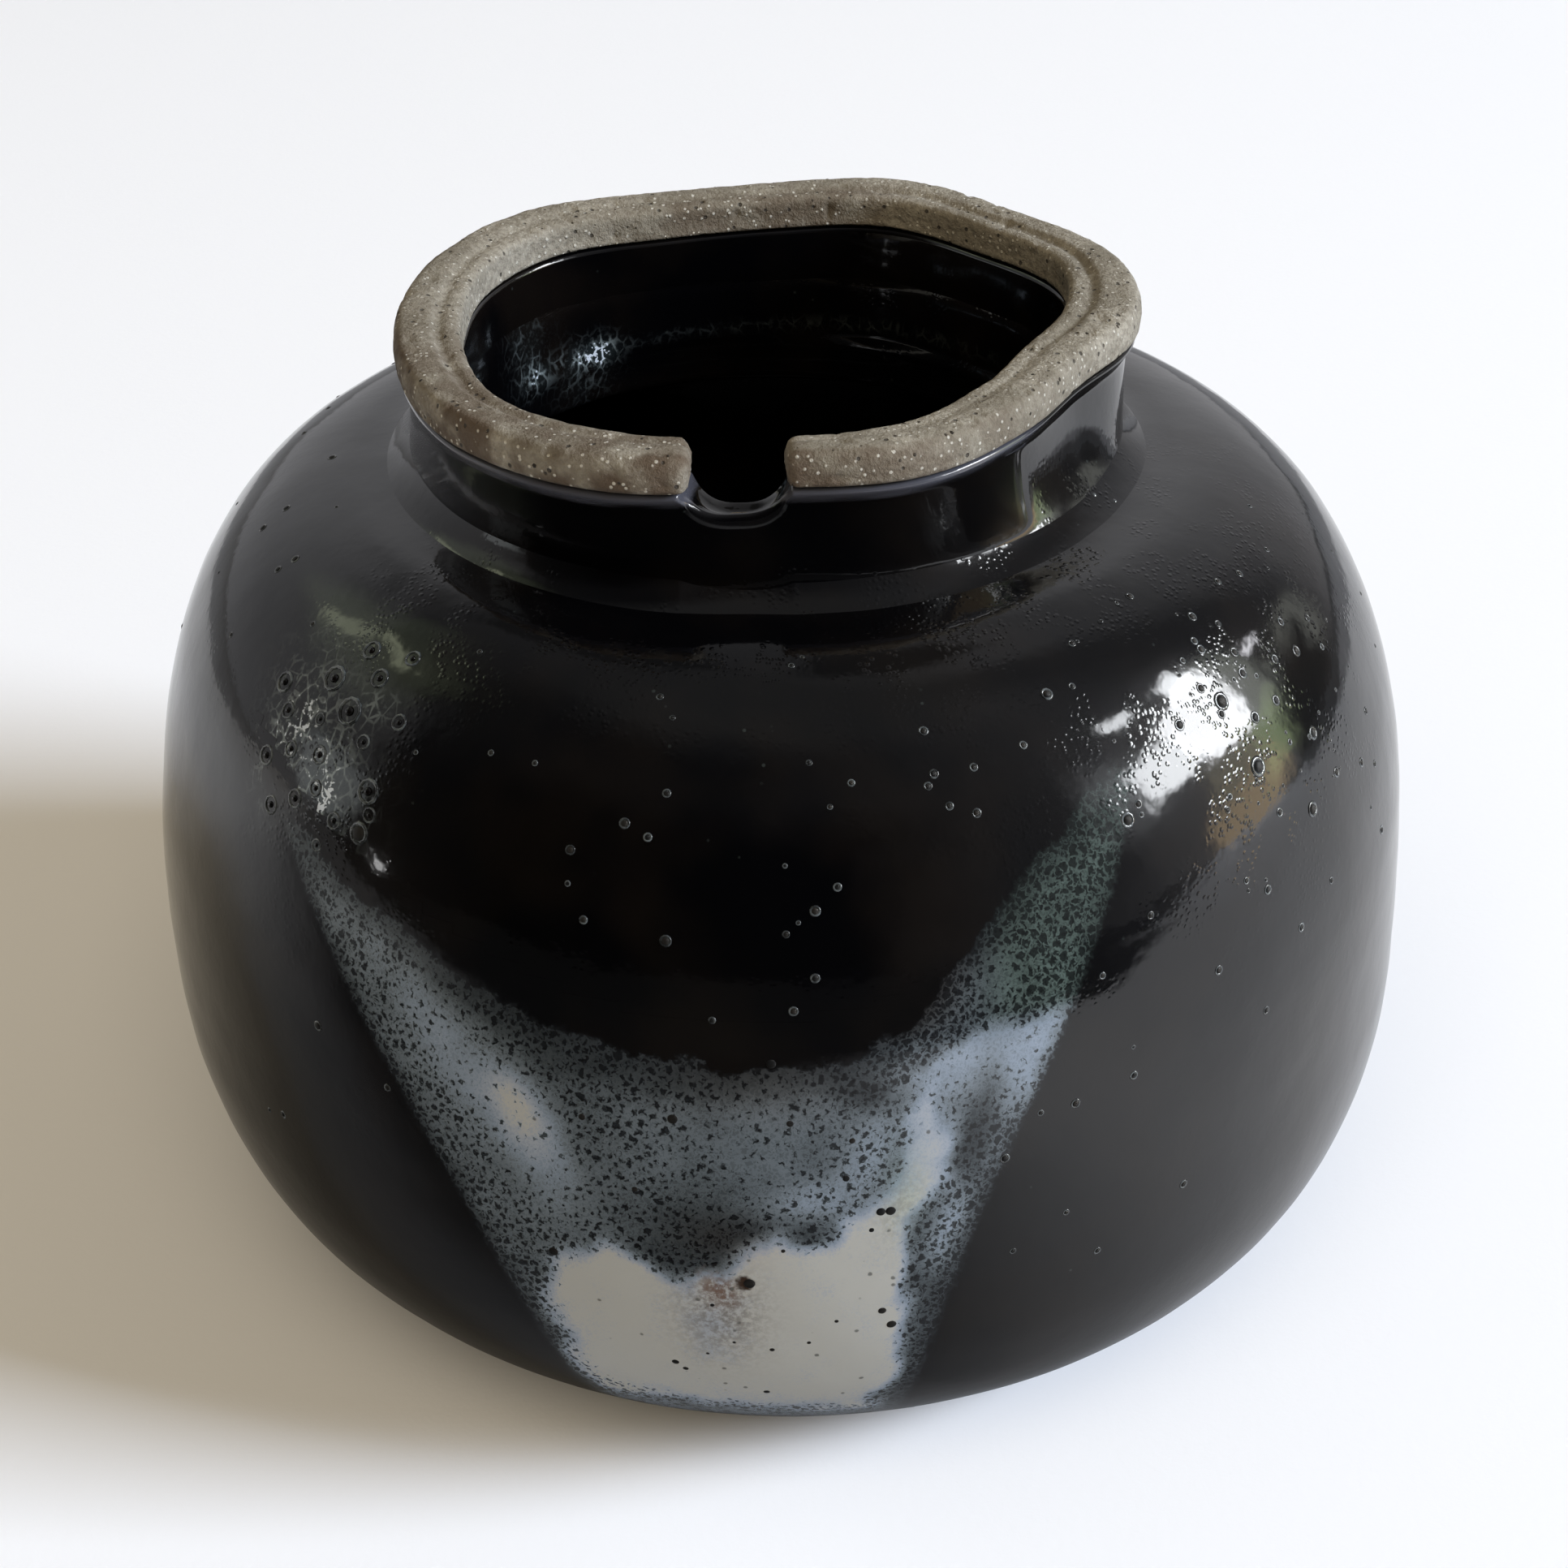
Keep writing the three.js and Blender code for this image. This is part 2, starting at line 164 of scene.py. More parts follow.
def body_columns(azimuths, depth, rows, least_radius=0):
    """The body's outlines at many azimuths, each at equal steps of its length, as radii and heights."""
    columns = []
    for azimuth in azimuths:
        r, z = body_curve(azimuth, depth)
        r, z = r[r > least_radius], z[r > least_radius]
        length = np.concatenate([[0], np.cumsum(np.hypot(np.diff(r), np.diff(z)))])
        steps = np.linspace(0, length[-1], rows)
        columns.append((np.interp(steps, length, r), np.interp(steps, length, z)))
    r, z = zip(*columns)
    return np.stack(r, axis=1), np.stack(z, axis=1)


def bumps(points, pitch, seed):
    """Smooth noise from -1 to 1 at points, with lumps about a pitch apart."""
    shift = Vector((seed * 7.3, seed * 3.1, seed * 5.7))
    return np.array([noise.noise(Vector(p) / pitch + shift) for p in points])


def lumps(points, pitch, seed):
    """The same noise from 0 to 1."""
    return bumps(points, pitch, seed) * 0.5 + 0.5


def from_grid(r, z, azimuth):
    """Points from radii and heights: a row for each step of the outline, a column for each azimuth."""
    return np.stack([centre_x(z) + r * np.cos(azimuth), r * np.sin(azimuth), z], axis=-1)


def all_round(outline, azimuth):
    """The radii and heights of an outline's points, each repeated at every azimuth."""
    return np.array(outline).T[..., None] + 0 * azimuth


def numbered(grid):
    """The numbers of a grid's points, row by row."""
    return np.arange(grid[..., 0].size).reshape(grid.shape[:2])


def normals_of(grid):
    """Unit normals of a grid whose columns close round the axis; outward where the rows go up."""
    round_way = np.roll(grid, -1, axis=1) - np.roll(grid, 1, axis=1)
    up_way = np.gradient(grid, axis=0)
    normal = np.cross(round_way, up_way)
    return normal / np.maximum(np.linalg.norm(normal, axis=-1, keepdims=True), 1e-9)


def grid_faces(index, closed_rows):
    """Quads between rows of vertex numbers whose columns close. A row of one number is a pole."""
    faces = []
    rows = list(index) + ([index[0]] if closed_rows else [])
    for low, high in zip(rows, rows[1:]):
        n = max(len(low), len(high))
        for j in range(n):
            k = (j + 1) % n
            if len(low) == 1:
                faces.append((low[0], high[k], high[j]))
            elif len(high) == 1:
                faces.append((low[j], low[k], high[0]))
            else:
                faces.append((low[j], low[k], high[k], high[j]))
    return faces


def make_piece(name, points, faces, normals=None, **attributes):
    """A mesh object from millimetre points, its faces turned outwards."""
    points = np.asarray(points, float) * MM
    corners = [f[:3] for f in faces] + [(f[0], f[2], f[3]) for f in faces if len(f) == 4]
    a, b, c = points[np.array(corners).T]
    if np.einsum("ij,ij->", a, np.cross(b, c)) < 0:
        faces = [tuple(reversed(f)) for f in faces]
    mesh = bpy.data.meshes.new(name)
    mesh.from_pydata(points.tolist(), [], faces)
    mesh.polygons.foreach_set("use_smooth", [True] * len(mesh.polygons))
    for key, values in attributes.items():
        layer = mesh.attributes.new(key, "FLOAT", "POINT")
        layer.data.foreach_set("value", np.asarray(values, np.float32))
    if normals is not None:
        mesh.normals_split_custom_set_from_vertices(normals.tolist())
    piece = bpy.data.objects.new(name, mesh)
    scene.collection.objects.link(piece)
    return piece


def finish_piece(piece, material, slot, *nodes):
    """Gives a piece its finish, sets it under the root, and hides the parts that it stands for."""
    if material:
        piece.data.materials.clear()
        piece.data.materials.append(material)
    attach(piece, "root")
    if nodes:
        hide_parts(*nodes)


class Value:
    """A node's output, on which Python's operators add Math nodes."""

    def __init__(self, graph, socket):
        self.graph = graph
        self.socket = socket

    def __add__(self, other):
        return self.graph.math("ADD", self, other)

    def __sub__(self, other):
        return self.graph.math("SUBTRACT", self, other)

    def __mul__(self, other):
        return self.graph.math("MULTIPLY", self, other)

    def __truediv__(self, other):
        return self.graph.math("DIVIDE", self, other)

    def __rsub__(self, other):
        return self.graph.math("SUBTRACT", other, self)

    __radd__ = __add__
    __rmul__ = __mul__


class Graph:
    """A node tree with one method that adds any node, and short names for the ones used most."""

    def __init__(self, tree):
        self.tree = tree

    def add(self, kind, settings=None, inputs=None, output=0):
        node = self.tree.nodes.new(kind)
        for key, value in (settings or {}).items():
            if key == "stops":
                self.set_stops(node.color_ramp, value)
            else:
                setattr(node, key, value)
        for key, value in (inputs or {}).items():
            if isinstance(value, Value):
                self.tree.links.new(value.socket, node.inputs[key])
            else:
                node.inputs[key].default_value = value
        return Value(self, node.outputs[output]) if len(node.outputs) else node

    def set_stops(self, ramp, stops):
        while len(ramp.elements) < len(stops):
            ramp.elements.new(0.5)
        for element, (place, colour) in zip(ramp.elements, stops):
            element.position = place
            element.color = (*colour, 1)

    def math(self, operation, *values):
        return self.add("ShaderNodeMath", {"operation": operation}, dict(enumerate(values)))

    def rise(self, value, low, high):
        """0 where value is below low, 1 above high, smooth between."""
        settings = {"interpolation_type": "SMOOTHSTEP"}
        return self.add("ShaderNodeMapRange", settings, {0: value, 1: low, 2: high})

    def mix(self, factor, a, b, blend="MIX"):
        a, b = [(*c, 1) if isinstance(c, tuple) else c for c in (a, b)]
        settings = {"data_type": "RGBA", "blend_type": blend}
        return self.add("ShaderNodeMix", settings, {0: factor, 6: a, 7: b}, 2)

    def ramp(self, value, *stops):
        return self.add("ShaderNodeValToRGB", {"stops": stops}, {0: value})

    def vector(self, operation, *values, output=0):
        return self.add("ShaderNodeVectorMath", {"operation": operation}, dict(enumerate(values)), output)

    def scaled(self, vector, *factors):
        return self.vector("MULTIPLY", vector, factors)

    def shifted(self, vector, *offsets):
        return self.vector("ADD", vector, offsets)

    def distance(self, place, *point):
        return self.vector("DISTANCE", place, point, output="Value")

    def parts(self, vector):
        """A vector's x, y and z."""
        split = self.add("ShaderNodeSeparateXYZ", {}, {0: vector})
        return [Value(self, socket) for socket in split.socket.node.outputs]

    def noise(self, place, pitch, detail=2, roughness=0.5):
        """Noise from 0 to 1 with lumps about a pitch (mm) apart."""
        inputs = {"Vector": place, "Scale": 1 / pitch, "Detail": detail, "Roughness": roughness}
        return self.add("ShaderNodeTexNoise", {}, inputs)

    def cells(self, place, pitch, output="Distance", feature="F1"):
        """Distance to the nearest of many random points a pitch (mm) apart, as a share of the pitch."""
        inputs = {"Vector": place, "Scale": 1 / pitch}
        return self.add("ShaderNodeTexVoronoi", {"feature": feature}, inputs, output)

    def attribute(self, name):
        return self.add("ShaderNodeAttribute", {"attribute_name": name}, {}, "Fac")

    def bump(self, height, strength=1.0):
        """A normal from a height in millimetres."""
        return self.add("ShaderNodeBump", {}, {"Strength": strength, "Distance": MM, "Height": height})


def new_material(name):
    """A material's graph, its Principled shader and the place on the piece in millimetres."""
    material = bpy.data.materials.new(name)
    material.use_nodes = True
    graph = Graph(material.node_tree)
    shader = material.node_tree.nodes["Principled BSDF"]
    where = graph.add("ShaderNodeTexCoord", {}, {}, "Object")
    place = graph.scaled(where, 1 / MM, 1 / MM, 1 / MM)
    return material, graph, shader, place


def plug(graph, shader, **links):
    """Links values to the shader's sockets, or sets them where they are plain."""
    for key, value in links.items():
        socket = shader.inputs[key.replace("_", " ")]
        if isinstance(value, Value):
            graph.tree.links.new(value.socket, socket)
        else:
            socket.default_value = value


# The glaze's gloss, and the faint broad reflection over it
GLAZE_IOR = 1.56
VEIL_WEIGHT = 0.07
VEIL_ROUGHNESS = 0.3


def glaze_gloss(graph, shader, place, peel):
    """The glaze's gloss: a sharp reflection that its skin breaks up, under a broad faint one."""
    grain = graph.cells(place, 0.62)
    grain_size = graph.noise(place, 5, 1)
    dimples = graph.rise(grain, 0.5, 0.12) * graph.rise(grain_size, 0.42, 0.62)
    swell = graph.noise(place, 3.2, 2)
    height = swell * 0.035 + graph.noise(place, 0.9, 1) * 0.006 + dimples * peel * 0.03
    roughness = graph.noise(place, 11, 3) * 0.07 + 0.045
    plug(graph, shader, Roughness=roughness, Normal=graph.bump(height), IOR=GLAZE_IOR)
    plug(graph, shader, Coat_Weight=VEIL_WEIGHT, Coat_Roughness=VEIL_ROUGHNESS, Coat_IOR=1.5)


def black_colour(graph, place):
    """Near black, a little brown where it runs thin, with faint milky specks."""
    drift = graph.noise(place, 16, 3)
    colour = graph.mix(graph.rise(drift, 0.4, 0.7), (0.0009, 0.0009, 0.0012), (0.0036, 0.0027, 0.0022))
    speck = graph.rise(graph.cells(place, 1.9), 0.12, 0.05) * graph.rise(graph.noise(place, 9), 0.55, 0.7)
    return graph.mix(speck * 0.5, colour, (0.03, 0.036, 0.033))


def black_glaze():
    """Black, with a grey line under the rim that is a painted reflection of the paper in the glaze's bead,
    and froth with painted glints on the left shoulder.
    """
    material, graph, shader, place = new_material("black_glaze")
    glaze_gloss(graph, shader, place, graph.attribute("peel"))
    # The grey line under the rim is a painted reflection of the paper in the glaze's bead.
    colour = graph.mix(graph.attribute("thin") * 0.9, black_colour(graph, place), (0.055, 0.055, 0.065))
    # The froth is partly milky glaze and partly painted glints; inside the mouth the same attribute paints
    # the window's reflection.
    foam = graph.attribute("foam")
    push = graph.noise(place, 0.9, 2) - 0.5
    web = graph.cells(graph.scaled(graph.shifted(place, 5, 9, 2), 1, 1, 0.7), 1.3, feature="DISTANCE_TO_EDGE")
    strands = graph.rise(web + push * 0.3, 0.12, 0.02) * graph.rise(graph.noise(place, 1.8, 2), 0.4, 0.55)
    crumbs = graph.rise(graph.noise(place, 0.5, 2), 0.5, 0.66)
    haze = foam * graph.rise(graph.noise(place, 3, 2), 0.3, 0.6)
    colour = graph.mix(haze * 0.6, colour, (0.015, 0.02, 0.021))
    colour = graph.mix(foam * (strands * 0.75 + crumbs * 0.2), colour, (0.19, 0.22, 0.22))
    # The whitest streaks are painted highlights.
    white = graph.rise(foam * (crumbs * 0.8 + strands * 0.5 + 0.45) + push * 0.4, 0.95, 1.25)
    colour = graph.mix(white, colour, (0.46, 0.5, 0.55))
    plug(graph, shader, Base_Color=colour)
    return material


def bubble_skin():
    """The thin milky glaze of a bubble's lip."""
    material, graph, shader, place = new_material("bubble_skin")
    glaze_gloss(graph, shader, place, 0.2)
    plug(graph, shader, IOR=1.9)
    milk = graph.rise(graph.noise(place, 1.1, 2), 0.35, 0.7)
    plug(graph, shader, Base_Color=graph.mix(milk, (0.01, 0.011, 0.011), (0.075, 0.084, 0.085)))
    return material


# An iron spot in the white and the brown cloud beside it
RUST_SPOT = (-3.4, -69.9, 35.5)
RUST_CLOUD = (-5.8, -69.6, 34.3)


# The white's colour from its thinnest to its thickest
MILK_COLOURS = [
    (0.0, (0.002, 0.002, 0.0025)),
    (0.14, (0.011, 0.013, 0.015)),
    (0.32, (0.042, 0.05, 0.055)),
    (0.5, (0.105, 0.124, 0.14)),
    (0.66, (0.175, 0.21, 0.255)),
    (0.8, (0.25, 0.275, 0.31)),
    (0.93, (0.325, 0.322, 0.298)),
]


def poured_level(graph, place, ragged, cloud):
    """How thick the white looks, broken by its net of holes, and a share: 0 outside its ragged edge."""
    edge, drop, thick, net, mottle = [
        graph.attribute(name) for name in ("edge", "drop", "thick", "net", "mottle")
    ]
    fine = graph.add("ShaderNodeTexNoise", {}, {"Vector": place, "Scale": 1.9, "Detail": 3.0}, "Color")
    drawn = graph.scaled(graph.vector("MULTIPLY_ADD", fine, (1.3,) * 3, place), 1, 1, 0.82)
    cell = graph.cells(drawn, 0.88, feature="DISTANCE_TO_EDGE")
    small = graph.cells(drawn, 0.5, feature="DISTANCE_TO_EDGE")
    start = 0.38 - net * 0.37
    hole = graph.rise(cell + ragged * 0.34 - start, 0.0, 0.19)
    speckle = graph.rise(small + ragged * 0.2, 0.06, 0.24)

    reach = graph.math("MINIMUM", edge + ragged * 1.8, drop + ragged * 2 + cloud * 6)
    body = graph.rise(reach, 0.0, 1.1)
    fading = graph.rise(graph.math("MINIMUM", edge, drop * 0.5) + cloud * 2, -0.2, 3.2)
    level = thick + cloud * 0.2 * graph.rise(thick, 0.0, 0.4)
    level = level * (1.03 - hole * 0.68 * graph.rise(net, 0.05, 0.45))
    level = level - speckle * 0.07 * (1 - mottle) + ragged * 0.05
    level = level * (fading * 0.45 + 0.55)
    return graph.math("MAXIMUM", level, 0.02) * body, body


def poured_glaze():
    """White over black: thick it is milk, thinner it is blue, thinnest it breaks into a net of strands."""
    material, graph, shader, place = new_material("white_glaze")
    warm, green, mottle = [graph.attribute(name) for name in ("warm", "green", "mottle")]
    ragged = graph.noise(place, 0.5, 2) - 0.5
    cloud = graph.noise(place, 4.2, 3) - 0.5
    level, body = poured_level(graph, place, ragged, cloud)
    colour = graph.ramp(level, *MILK_COLOURS)
    tint = graph.mix(green, (1, 1, 1), (0.88, 1.0, 0.8))
    tint = graph.mix(warm, tint, (1.0, 0.74, 0.58))
    colour = graph.mix(1.0, colour, tint, "MULTIPLY")
    grit = graph.noise(place, 0.6, 3, 0.7)
    colour = graph.mix(mottle * graph.rise(grit, 0.35, 0.65) * 0.85, colour, (0.125, 0.115, 0.105))
    rust_cloud = graph.rise(graph.distance(place, *RUST_CLOUD) + cloud * 5 + ragged * 2, 3.4, 0.4)
    colour = graph.mix(rust_cloud * graph.rise(grit, 0.3, 0.62) * 0.75, colour, (0.1, 0.05, 0.03))
    rust_spot = graph.rise(graph.distance(place, *RUST_SPOT) + ragged * 0.8, 1.15, 0.6)
    colour = graph.mix(rust_spot, colour, (0.03, 0.018, 0.012))
    crumb = graph.rise(graph.cells(place, 2.3) + ragged * 0.12, 0.13, 0.06) * graph.rise(level, 0.6, 0.8)
    colour = graph.mix(crumb * 0.75, colour, (0.05, 0.05, 0.045))
    colour = graph.mix(body, black_colour(graph, place), colour)
    glaze_gloss(graph, shader, place, graph.attribute("peel"))
    plug(graph, shader, Base_Color=colour)
    return material


def bare_clay(name, scorch):
    """Grey-brown stoneware with pale grog and dark pits, their darkness painted shade; an attribute browns
    it, which on the rim is painted warm shade.
    """
    material, graph, shader, place = new_material(name)
    drift = graph.noise(place, 9, 3)
    grain = graph.noise(place, 0.7, 3, 0.65)
    colour = graph.mix(graph.rise(drift, 0.35, 0.65), (0.2, 0.178, 0.137), (0.3, 0.272, 0.217))
    colour = graph.mix(graph.rise(grain, 0.62, 0.36) * 0.55, colour, (0.12, 0.10, 0.075))
    # Painted warm shade on the rim's low outer face, front and left; a plain brown tone on the foot.
    brown = graph.attribute(scorch) * graph.rise(graph.noise(place, 4, 2), 0.25, 0.6)
    colour = graph.mix(brown * 0.9, colour, (0.07, 0.047, 0.03))
    pale = graph.rise(graph.cells(place, 0.95), 0.24, 0.12)
    colour = graph.mix(pale * 0.75, colour, (0.5, 0.47, 0.4))
    # The pits are lowered and darkened: their dark colour is painted shade.
    pits = graph.rise(graph.cells(graph.shifted(place, 31, 7, 3), 1.7), 0.16, 0.09)
    colour = graph.mix(pits * 0.85, colour, (0.035, 0.03, 0.025))
    height = grain * 0.2 + graph.noise(place, 0.34, 2, 0.7) * 0.16 + pale * 0.07 - pits * 0.2
    plug(graph, shader, Base_Color=colour, Roughness=0.93, Normal=graph.bump(height))
    return material


def grain_material(name, low, high, roughness):
    """A grain's or pit's finish, a little different from one to the next."""
    material, graph, shader, place = new_material(name)
    drift = graph.noise(place, 1.5, 1)
    plug(graph, shader, Base_Color=graph.mix(graph.rise(drift, 0.3, 0.7), low, high), Roughness=roughness)
    return material


# Outside coat


def coat_columns():
    """Azimuths round the coat, closer together beside the gap."""
    fine = np.linspace(-np.pi, np.pi, 20001)
    density = np.ones_like(fine)
    for side in (-1, 1):
        x = GAP_CENTRE + side * GAP_WIDTH / 2 - NECK_SHIFT
        edge = math.atan2(-EDGE_RADIUS, x)
        density += 3.5 * np.exp(-(((fine - edge) / math.radians(1.9)) ** 2))
    total = np.cumsum(density)
    steps = np.arange(COLUMNS) / COLUMNS * (total[-1] - total[0]) + total[0]
    return np.interp(steps, total, fine)


def neck_radius(azimuth, t):
    """The neck's face from the shoulder (t = 0) to the rim's underside (t = 1)."""
    head = round_value(RIM_OUTER, azimuth) - RIM_OVERHANG
    return head + (NECK_RADIUS - head) * (1 - t) ** 2


def in_gap(x):
    """1 at the gap's lowest and 0 outside the gap, with round corners between."""
    share = np.clip(np.abs(x - GAP_CENTRE) / (GAP_WIDTH / 2 + 0.85), 0, 1)
    return (1 - share ** 3) ** 0.9


# The neck's flare under the rim, the rows smoothed where it meets the shoulder, and how far the coat's
# and the lining's ends turn into the wall where they meet
FLARE_HEIGHT = 2.2
FLARE = 1.15
CREASE_ROWS = 6
TUCK = 0.4


def coat_grid(azimuth):
    """The coat's face as a grid of points: foot, body, neck, over the neck's edge and down inside it."""
    r, z = body_columns(azimuth, 0, BODY_ROWS)

    x = centre_x(RIM_TOP) + EDGE_RADIUS * np.cos(azimuth)
    gap = np.where(np.sin(azimuth) < 0, in_gap(x), 0)
    under_rim = rim_bottom(azimuth) - 0.05
    top = under_rim + (GAP_FLOOR - under_rim) * gap
    steps = (np.arange(1, NECK_ROWS + 1) / NECK_ROWS)[:, None]
    neck_z = SHOULDER_HEIGHT + (top - 0.6 - SHOULDER_HEIGHT) * steps
    share = (neck_z - SHOULDER_HEIGHT) / (under_rim - SHOULDER_HEIGHT)
    flare = FLARE * (1 - gap) * ease(under_rim - FLARE_HEIGHT, under_rim, neck_z) ** 1.5
    neck_r = neck_radius(azimuth, share) + flare

    edge_r = neck_r[-1]
    inner_r = round_value(RIM_INNER, azimuth)
    rows = [(edge_r - 0.17, top - 0.18), (edge_r - 0.6, top)]
    for k in (0.2, 0.4, 0.6, 0.8):
        sag = 0.7 * gap * math.sin(math.pi * k) + 0.5 * gap * k
        rows.append((edge_r - 0.6 + (inner_r + 0.6 - edge_r + 0.6) * k, top - sag))
    lip = top - 0.5 * gap
    rows += [(inner_r + 0.6, lip), (inner_r + 0.17, lip - 0.18), (inner_r, lip - 0.6)]
    for k in (0.25, 0.5, 0.75, 1):
        height = top - 0.6 + (COAT_END - top + 0.6) * k
        behind = TUCK * ease(LINING_START, COAT_END, height)
        rows.append((inner_r + (NECK_INNER - inner_r) * (top - height) / THROAT_LENGTH + behind, height))

    edge_r, edge_z = np.array(rows).swapaxes(0, 1)
    r, z = np.concatenate([r, neck_r, edge_r]), np.concatenate([z, neck_z, edge_z])
    crease = slice(BODY_ROWS - CREASE_ROWS, BODY_ROWS + CREASE_ROWS + 2)
    for _ in range(14):
        for values in (r, z):
            values[crease] = values[crease] * 0.5 + 0.25 * (
                values[crease.start - 1:crease.stop - 1] + values[crease.start + 1:crease.stop + 1]
            )
    return from_grid(r, z, azimuth)


# How far the neck's normals lean down at the front, and how much more at the front right
NECK_TILT = 0.3
RIGHT_TILT = 0.4


def leaning(normals, azimuth):
    """The neck's normals turned down, as its waisted face turns them: it mirrors the dark shoulder."""
    rows = np.arange(normals.shape[0]) - BODY_ROWS
    share = ease(2, 7, rows) * ease(NECK_ROWS - 2, NECK_ROWS - 5, rows)
    tilt = NECK_TILT + RIGHT_TILT * ease(math.radians(-66), math.radians(-54), azimuth)
    share = share[:, None] * tilt * ease(math.radians(-41), math.radians(-48), azimuth)
    turned = normals - np.array([0, 0, 1]) * share[..., None]
    return turned / np.linalg.norm(turned, axis=-1, keepdims=True)


def hand_shaped(grid, normals):
    """Presses the thrown form in a little, unevenly, as hands and glaze leave it."""
    flat = grid.reshape(-1, 3)
    height = flat[:, 2]
    body = ease(2, 12, height) * (1 - 0.75 * ease(88, 96, height))
    rings = lumps(flat * np.array([1, 1, 2.4]), 11, 3)
    press = body * (0.16 * lumps(flat, 34, 1) + 0.16 * lumps(flat, 12, 2) + 0.1 * rings)
    press += 0.05 * lumps(flat, 4.6, 4) * ease(2, 12, height)
    return grid - normals * press.reshape(grid.shape[:2])[..., None]


# The pour's field


def degrees_at(points):
    """The azimuths of points, in degrees."""
    return np.degrees(np.arctan2(points[..., 1], points[..., 0] - centre_x(points[..., 2])))


def pour_edge(z, angles, top):
    """The pour's slanting edge: its azimuth in degrees at a height."""
    share = np.clip((z - POUR_FOOT) / (top - POUR_FOOT), 0, 1.25)
    return angles[0] + (angles[1] - angles[0]) * share ** 2


def pour_top(u):
    """The pour's upper edge from its left arm (u = 0) to its right arm (u = 1)."""
    u = np.clip(u, 0, 1)
    left = POUR_HOLLOW + (LEFT_TOP - POUR_HOLLOW) * np.abs(1 - 2 * u) ** LEFT_ARM_POWER
    right = np.interp(u, *np.array(RIGHT_ARM).T)
    return np.where(u < 0.5, left, right)


# Where the white lies thickest: azimuth and height, clockwise from its left shoulder
MILK_OUTLINE = [
    (-108.9, 35.9), (-107.1, 38.2), (-104.2, 39), (-100.6, 38.2), (-98.6, 36.2), (-95.7, 37), (-94.5, 38.8),
    (-94.1, 40.6), (-90.6, 41.9), (-87.3, 41.4), (-84.8, 43.6), (-83.7, 45.9), (-81.4, 48.9), (-80.6, 52.4),
    (-80.3, 54.3), (-79.4, 56.1), (-78.1, 56.8), (-76.7, 55.2), (-75.9, 51.4), (-76.4, 47.2), (-77.6, 44.5),
    (-78.9, 42.7), (-79.4, 40), (-79.9, 35.1), (-80.3, 26.4), (-80.4, 19.8), (-83.6, 14.2), (-93.7, 13.9),
    (-100.3, 15.7), (-107, 16.6), (-109.3, 23.1), (-110.1, 28.7),
]


def inside_distance(outline, azimuth, z, scale):
    """Signed distance in mm to a closed outline, positive inside. Azimuths count as mm times scale."""
    corners = [np.array([a * scale, h]) for a, h in outline]
    p = np.stack([azimuth * scale, z], axis=-1)
    nearest = np.full(azimuth.shape, 1e9)
    inside = np.zeros(azimuth.shape, bool)
    for a, b in zip(corners, corners[1:] + corners[:1]):
        span = b - a
        t = np.clip(((p - a) @ span) / (span @ span), 0, 1)
        nearest = np.minimum(nearest, np.linalg.norm(p - a - t[..., None] * span, axis=-1))
        crosses = (a[1] > p[..., 1]) != (b[1] > p[..., 1])
        meet = a[0] + (p[..., 1] - a[1]) / (b[1] - a[1] if b[1] != a[1] else 1e-9) * span[0]
        inside ^= crosses & (p[..., 0] < meet)
    return np.where(inside, nearest, -nearest)


# A degree round the pour's face, in mm
MM_PER_DEGREE = math.radians(68)


def patches(azimuth, z, table):
    """The sum of soft patches, each fading from its middle over its size.

    A row is a strength, an azimuth and height, a size across and up, and a lean in mm across per mm up.
    """
    total = 0.0
    for strength, place, size, lean in table:
        up = z - place[1]
        across = (azimuth - place[0]) * MM_PER_DEGREE - lean * up
        total = total + strength * np.exp(-((across / size[0]) ** 2) - (up / size[1]) ** 2)
    return total


# The pour's patches: where it is thicker or thinner, before and after the milk's blue border is laid,
# where the milk is thinner, where the net closes, and where the colour is warm, green or mottled
THICKER = [
    (0.4, (-110.7, 52.8), (3, 4.2), -0.45), (0.26, (-109.5, 48), (4.6, 8), -0.55),
    (0.14, (-117.5, 58.5), (4, 6), -0.6), (-0.16, (-74.2, 54), (1.5, 6), 0.2),
    (0.2, (-71, 52), (2.6, 7), 0.45), (0.1, (-80.5, 58), (4, 3), 0.3), (-0.12, (-94, 42), (6, 3.6), 0),
]
THICKER_LAST = [
    (-0.26, (-83, 57), (2.6, 1.7), 0), (0.36, (-77, 41), (2.2, 4.2), 0.2),
    (0.22, (-83, 50.5), (3.2, 4.4), 0.5), (0.2, (-88, 45), (6, 2.4), 0.6), (0.07, (-99, 53), (12, 6), 0),
]
THIN_MILK = [(0.13, (-95.8, 31), (4.5, 7), 0), (0.16, (-81.5, 47), (3, 5), 0.3), (0.14, (-78, 51), (3, 6), 0)]
CLOSED_NET = [
    (0.45, (-109.5, 49), (5.5, 9), -0.5), (0.4, (-92, 50), (9, 9), 0), (0.35, (-117.5, 58.5), (4, 6), -0.6),
    (0.6, (-72.2, 66.7), (2.4, 2.4), 0),
]
WARM_ARM = [(1, (-79.5, 67), (4.5, 6), 0.5)]
WARM = [(0.45, (-92, 59), (9, 4), 0), (0.5, (-95, 41), (4, 2.5), 0)]
GREEN = [(0.5, (-80.5, 46), (2, 5), 0)]
MOTTLED = [(1, (-95.3, 31.3), (4.2, 6.5), 0), (0.5, (-81, 45), (2.5, 6), 0)]
# Where the right arm turns from green net above to blue-white below, and how the line falls to the left
ARM_LINE = 62.5
ARM_LINE_BEND = -74.5
# The edges slant, so a point is nearer to them than straight across
SLANT = 0.86


